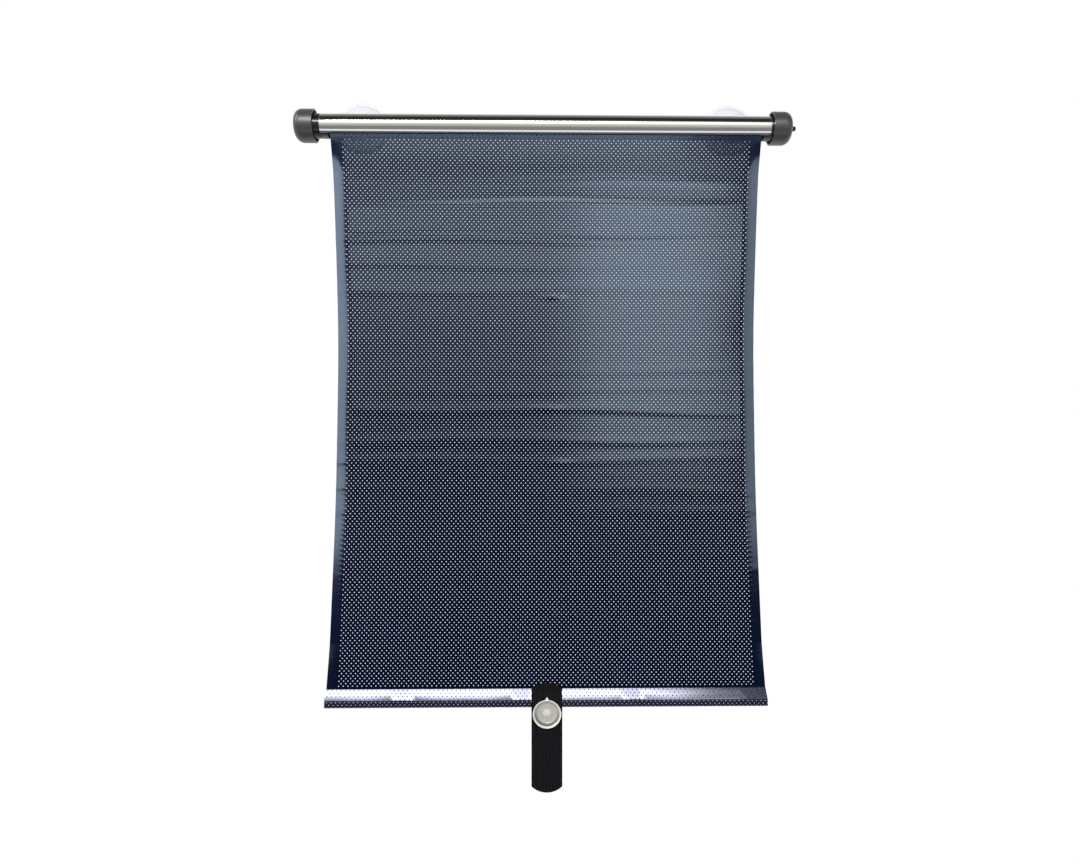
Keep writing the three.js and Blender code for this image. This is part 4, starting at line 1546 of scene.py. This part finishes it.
@dataclass
class InnerWorks:
    """The roller, its springs and the lock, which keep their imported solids."""

    nodes: dict[str, bpy.types.Object]
    finishes: dict[str, Finish] = field(
        default_factory=lambda: {
            "roller_tube": ALUMINIUM,
            "roller_bush": HUB,
            "spring_arbor": STEEL,
            "spring_anchor": STEEL,
            "torsion_spring": WIRE,
            "spring_driver": HUB,
            "lock_plug": HUB,
            "lock_disc": STEEL,
            "button_spring": WIRE,
            "hem_bar": BAR,
        }
    )

    def build(self) -> list[bpy.types.Object]:
        """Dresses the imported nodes.

        Returns:
            The nodes.
        """
        for name, finish in self.finishes.items():
            finish.dress_node(self.nodes[name])
        return [self.nodes[name] for name in self.finishes]


@dataclass
class Studio:
    """The camera, the lamps, the sky and the pale floor."""

    eye: Point = (-0.0165, -0.7142, -0.2788)
    yaw: float = 0.875
    pitch: float = -0.27
    focal_px: float = 760.0
    frame_px: float = 1080.0
    aim: Point = (0.0, 0.0, -0.25)
    floor_place: Point = (0.0, 0.02, -1.0)
    floor_size: float = 0.96
    floor_glow: float = 0.85
    receivers: bpy.types.Collection | None = None

    def build(self) -> None:
        """Makes all that isn't the object."""
        self.camera()
        self.lamps()
        self.sky()
        self.floor()
        bpy.context.scene.view_settings.view_transform = "Standard"

    def camera(self) -> None:
        """Adds the camera at the photograph's viewing angle."""
        data = bpy.data.cameras.new("camera")
        data.sensor_width = 36.0
        data.lens = 36.0 * self.focal_px / self.frame_px
        data.clip_start = 0.01
        camera = bpy.data.objects.new("camera", data)
        bpy.context.scene.collection.objects.link(camera)
        yaw, pitch = math.radians(self.yaw), math.radians(self.pitch)
        ahead = Vector(
            (math.sin(yaw) * math.cos(pitch), math.cos(yaw) * math.cos(pitch), math.sin(pitch))
        )
        camera.location = self.eye
        camera.rotation_euler = ahead.to_track_quat("-Z", "Y").to_euler()
        bpy.context.scene.camera = camera

    def lamp(
        self, name: str, place: Point, size: tuple[float, float], power: float
    ) -> bpy.types.Object:
        """Adds a soft lamp that faces the shade.

        Args:
            name: The lamp's name.
            place: Where it stands.
            size: Its width and height.
            power: Its power in watts.

        Returns:
            The lamp.
        """
        data = bpy.data.lights.new(name, "AREA")
        data.shape = "RECTANGLE"
        data.size, data.size_y = size
        data.energy = power
        lamp = bpy.data.objects.new(name, data)
        bpy.context.scene.collection.objects.link(lamp)
        lamp.location = place
        ahead = Vector(self.aim) - Vector(place)
        lamp.rotation_euler = ahead.to_track_quat("-Z", "Y").to_euler()
        return lamp

    def lamps(self) -> None:
        """Adds the long key over the camera, and panels that only the film's sheen shows."""
        self.lamp("key_lamp", (-0.6, -4.0, 2.05), (3.4, 0.9), 170.0)
        self.lamp("left_lamp", (-1.4, -0.5, 0.8), (0.8, 0.8), 9.0)
        sheen = [
            self.lamp("hem_panel", (-0.6, -4.0, 2.72), (3.4, 1.1), 235.0),
            self.lamp("wide_panel", (-0.1, -4.0, 0.84), (2.6, 0.56), 29.0),
            self.lamp("low_panel", (-0.1, -4.0, 0.18), (2.6, 0.8), 12.0),
            self.lamp("right_panel", (0.74, -4.0, 0.35), (0.87, 1.7), 44.0),
            self.lamp("left_panel", (-2.6, -1.9, 0.2), (1.4, 2.0), 150.0),
            self.lamp("far_panel", (2.6, -1.9, 0.2), (1.4, 2.0), 85.0),
        ]
        self.receivers = bpy.data.collections.new("film_receivers")
        for panel in sheen:
            panel.light_linking.receiver_collection = self.receivers
            panel.visible_diffuse = False

    def show_sheen(self, pieces: Iterable[bpy.types.Object]) -> None:
        """Lets the sheen panels light these pieces."""
        for piece in pieces:
            self.receivers.objects.link(piece)

    def sky(self) -> None:
        """White behind the shade, with a studio's soft panels and dark gaps for gloss to show."""
        world = bpy.data.worlds.new("studio")
        bpy.context.scene.world = world
        world.use_nodes = True
        shader = Shader(world.node_tree)
        way = shader.node("ShaderNodeTexCoord", output="Generated")
        x, y, z = shader.axes(way)
        angle = z.apply("ARCTAN2", -y) * (180.0 / math.pi) - x * 3.0
        stops_deg = [
            (-180.0, (1.0, 1.0, 1.0)),
            (-118.0, (1.0, 1.0, 1.0)),
            (-95.0, (0.4, 0.4, 0.42)),
            (-76.0, (0.1, 0.1, 0.11)),
            (-64.0, (0.1, 0.1, 0.11)),
            (-59.0, (0.95, 0.95, 1.0)),
            (-49.0, (0.95, 0.95, 1.0)),
            (-44.0, (0.22, 0.22, 0.24)),
            (-18.0, (0.26, 0.25, 0.25)),
            (-9.0, (0.5, 0.47, 0.42)),
            (7.0, (0.68, 0.64, 0.56)),
            (12.0, (0.9, 0.9, 0.92)),
            (18.0, (1.25, 1.25, 1.3)),
            (36.0, (1.25, 1.25, 1.3)),
            (42.0, (0.03, 0.03, 0.03)),
            (74.0, (0.02, 0.02, 0.02)),
            (84.0, (0.16, 0.16, 0.15)),
            (108.0, (0.3, 0.3, 0.3)),
            (125.0, (0.95, 0.95, 0.95)),
            (180.0, (1.0, 1.0, 1.0)),
        ]
        stops = [((place + 180.0) / 360.0, colour) for place, colour in stops_deg]
        share = angle * (1.0 / 360.0) + 0.5
        bands = shader.node("ShaderNodeValToRGB", {"stops": stops}, {0: share})
        white = shader.rays("Is Camera Ray", "Is Transmission Ray")
        lit = shader.mix(shader.rays("Is Glossy Ray"), (0.4, 0.4, 0.41), bands)
        colour = shader.mix(white, lit, (1.0, 1.0, 1.0))
        back = shader.node("ShaderNodeBackground", None, {"Color": colour, "Strength": 1.0})
        shader.node("ShaderNodeOutputWorld", None, {"Surface": back})

    def floor(self) -> None:
        """Adds the pale floor under the shade."""
        Bench.clear()
        bpy.ops.mesh.primitive_plane_add(size=self.floor_size, location=self.floor_place)
        floor = Bench.settle("floor")
        material = bpy.data.materials.new("pale_floor")
        material.use_nodes = True
        shader = Shader(material.node_tree)
        pale, white = (0.9, 0.9, 0.9, 1.0), (1.0, 1.0, 1.0, 1.0)
        diffuse = shader.node("ShaderNodeBsdfDiffuse", None, {"Color": pale})
        glow = shader.node("ShaderNodeEmission", None, {"Color": white, "Strength": 1.0})
        seen = shader.rays("Is Camera Ray", "Is Glossy Ray", "Is Transmission Ray")
        sockets = {0: seen * self.floor_glow, 1: diffuse, 2: glow}
        surface = shader.node("ShaderNodeMixShader", None, sockets)
        shader.node("ShaderNodeOutputMaterial", None, {"Surface": surface})
        floor.data.materials.append(material)
        floor.visible_glossy = False


def report(parts: Iterable[bpy.types.Object]) -> None:
    """Logs each piece with its faces."""
    for part in parts:
        LOG.info("%s: %d faces", part.name, len(part.data.polygons))


def main() -> None:
    """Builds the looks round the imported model."""
    logging.basicConfig(level=logging.INFO, format="%(name)s %(message)s")
    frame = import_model()
    nodes = frame["nodes"]
    studio = Studio()
    studio.build()
    for assembly in (InnerWorks(nodes), Cassette(nodes), Holders(nodes), DrawnFilm(), Hem()):
        report(assembly.build())
    studio.show_sheen(bpy.data.objects[name] for name in ("perforated_film", "hem_pocket"))
    Bench.clear()


if __name__ == "__main__":
    main()
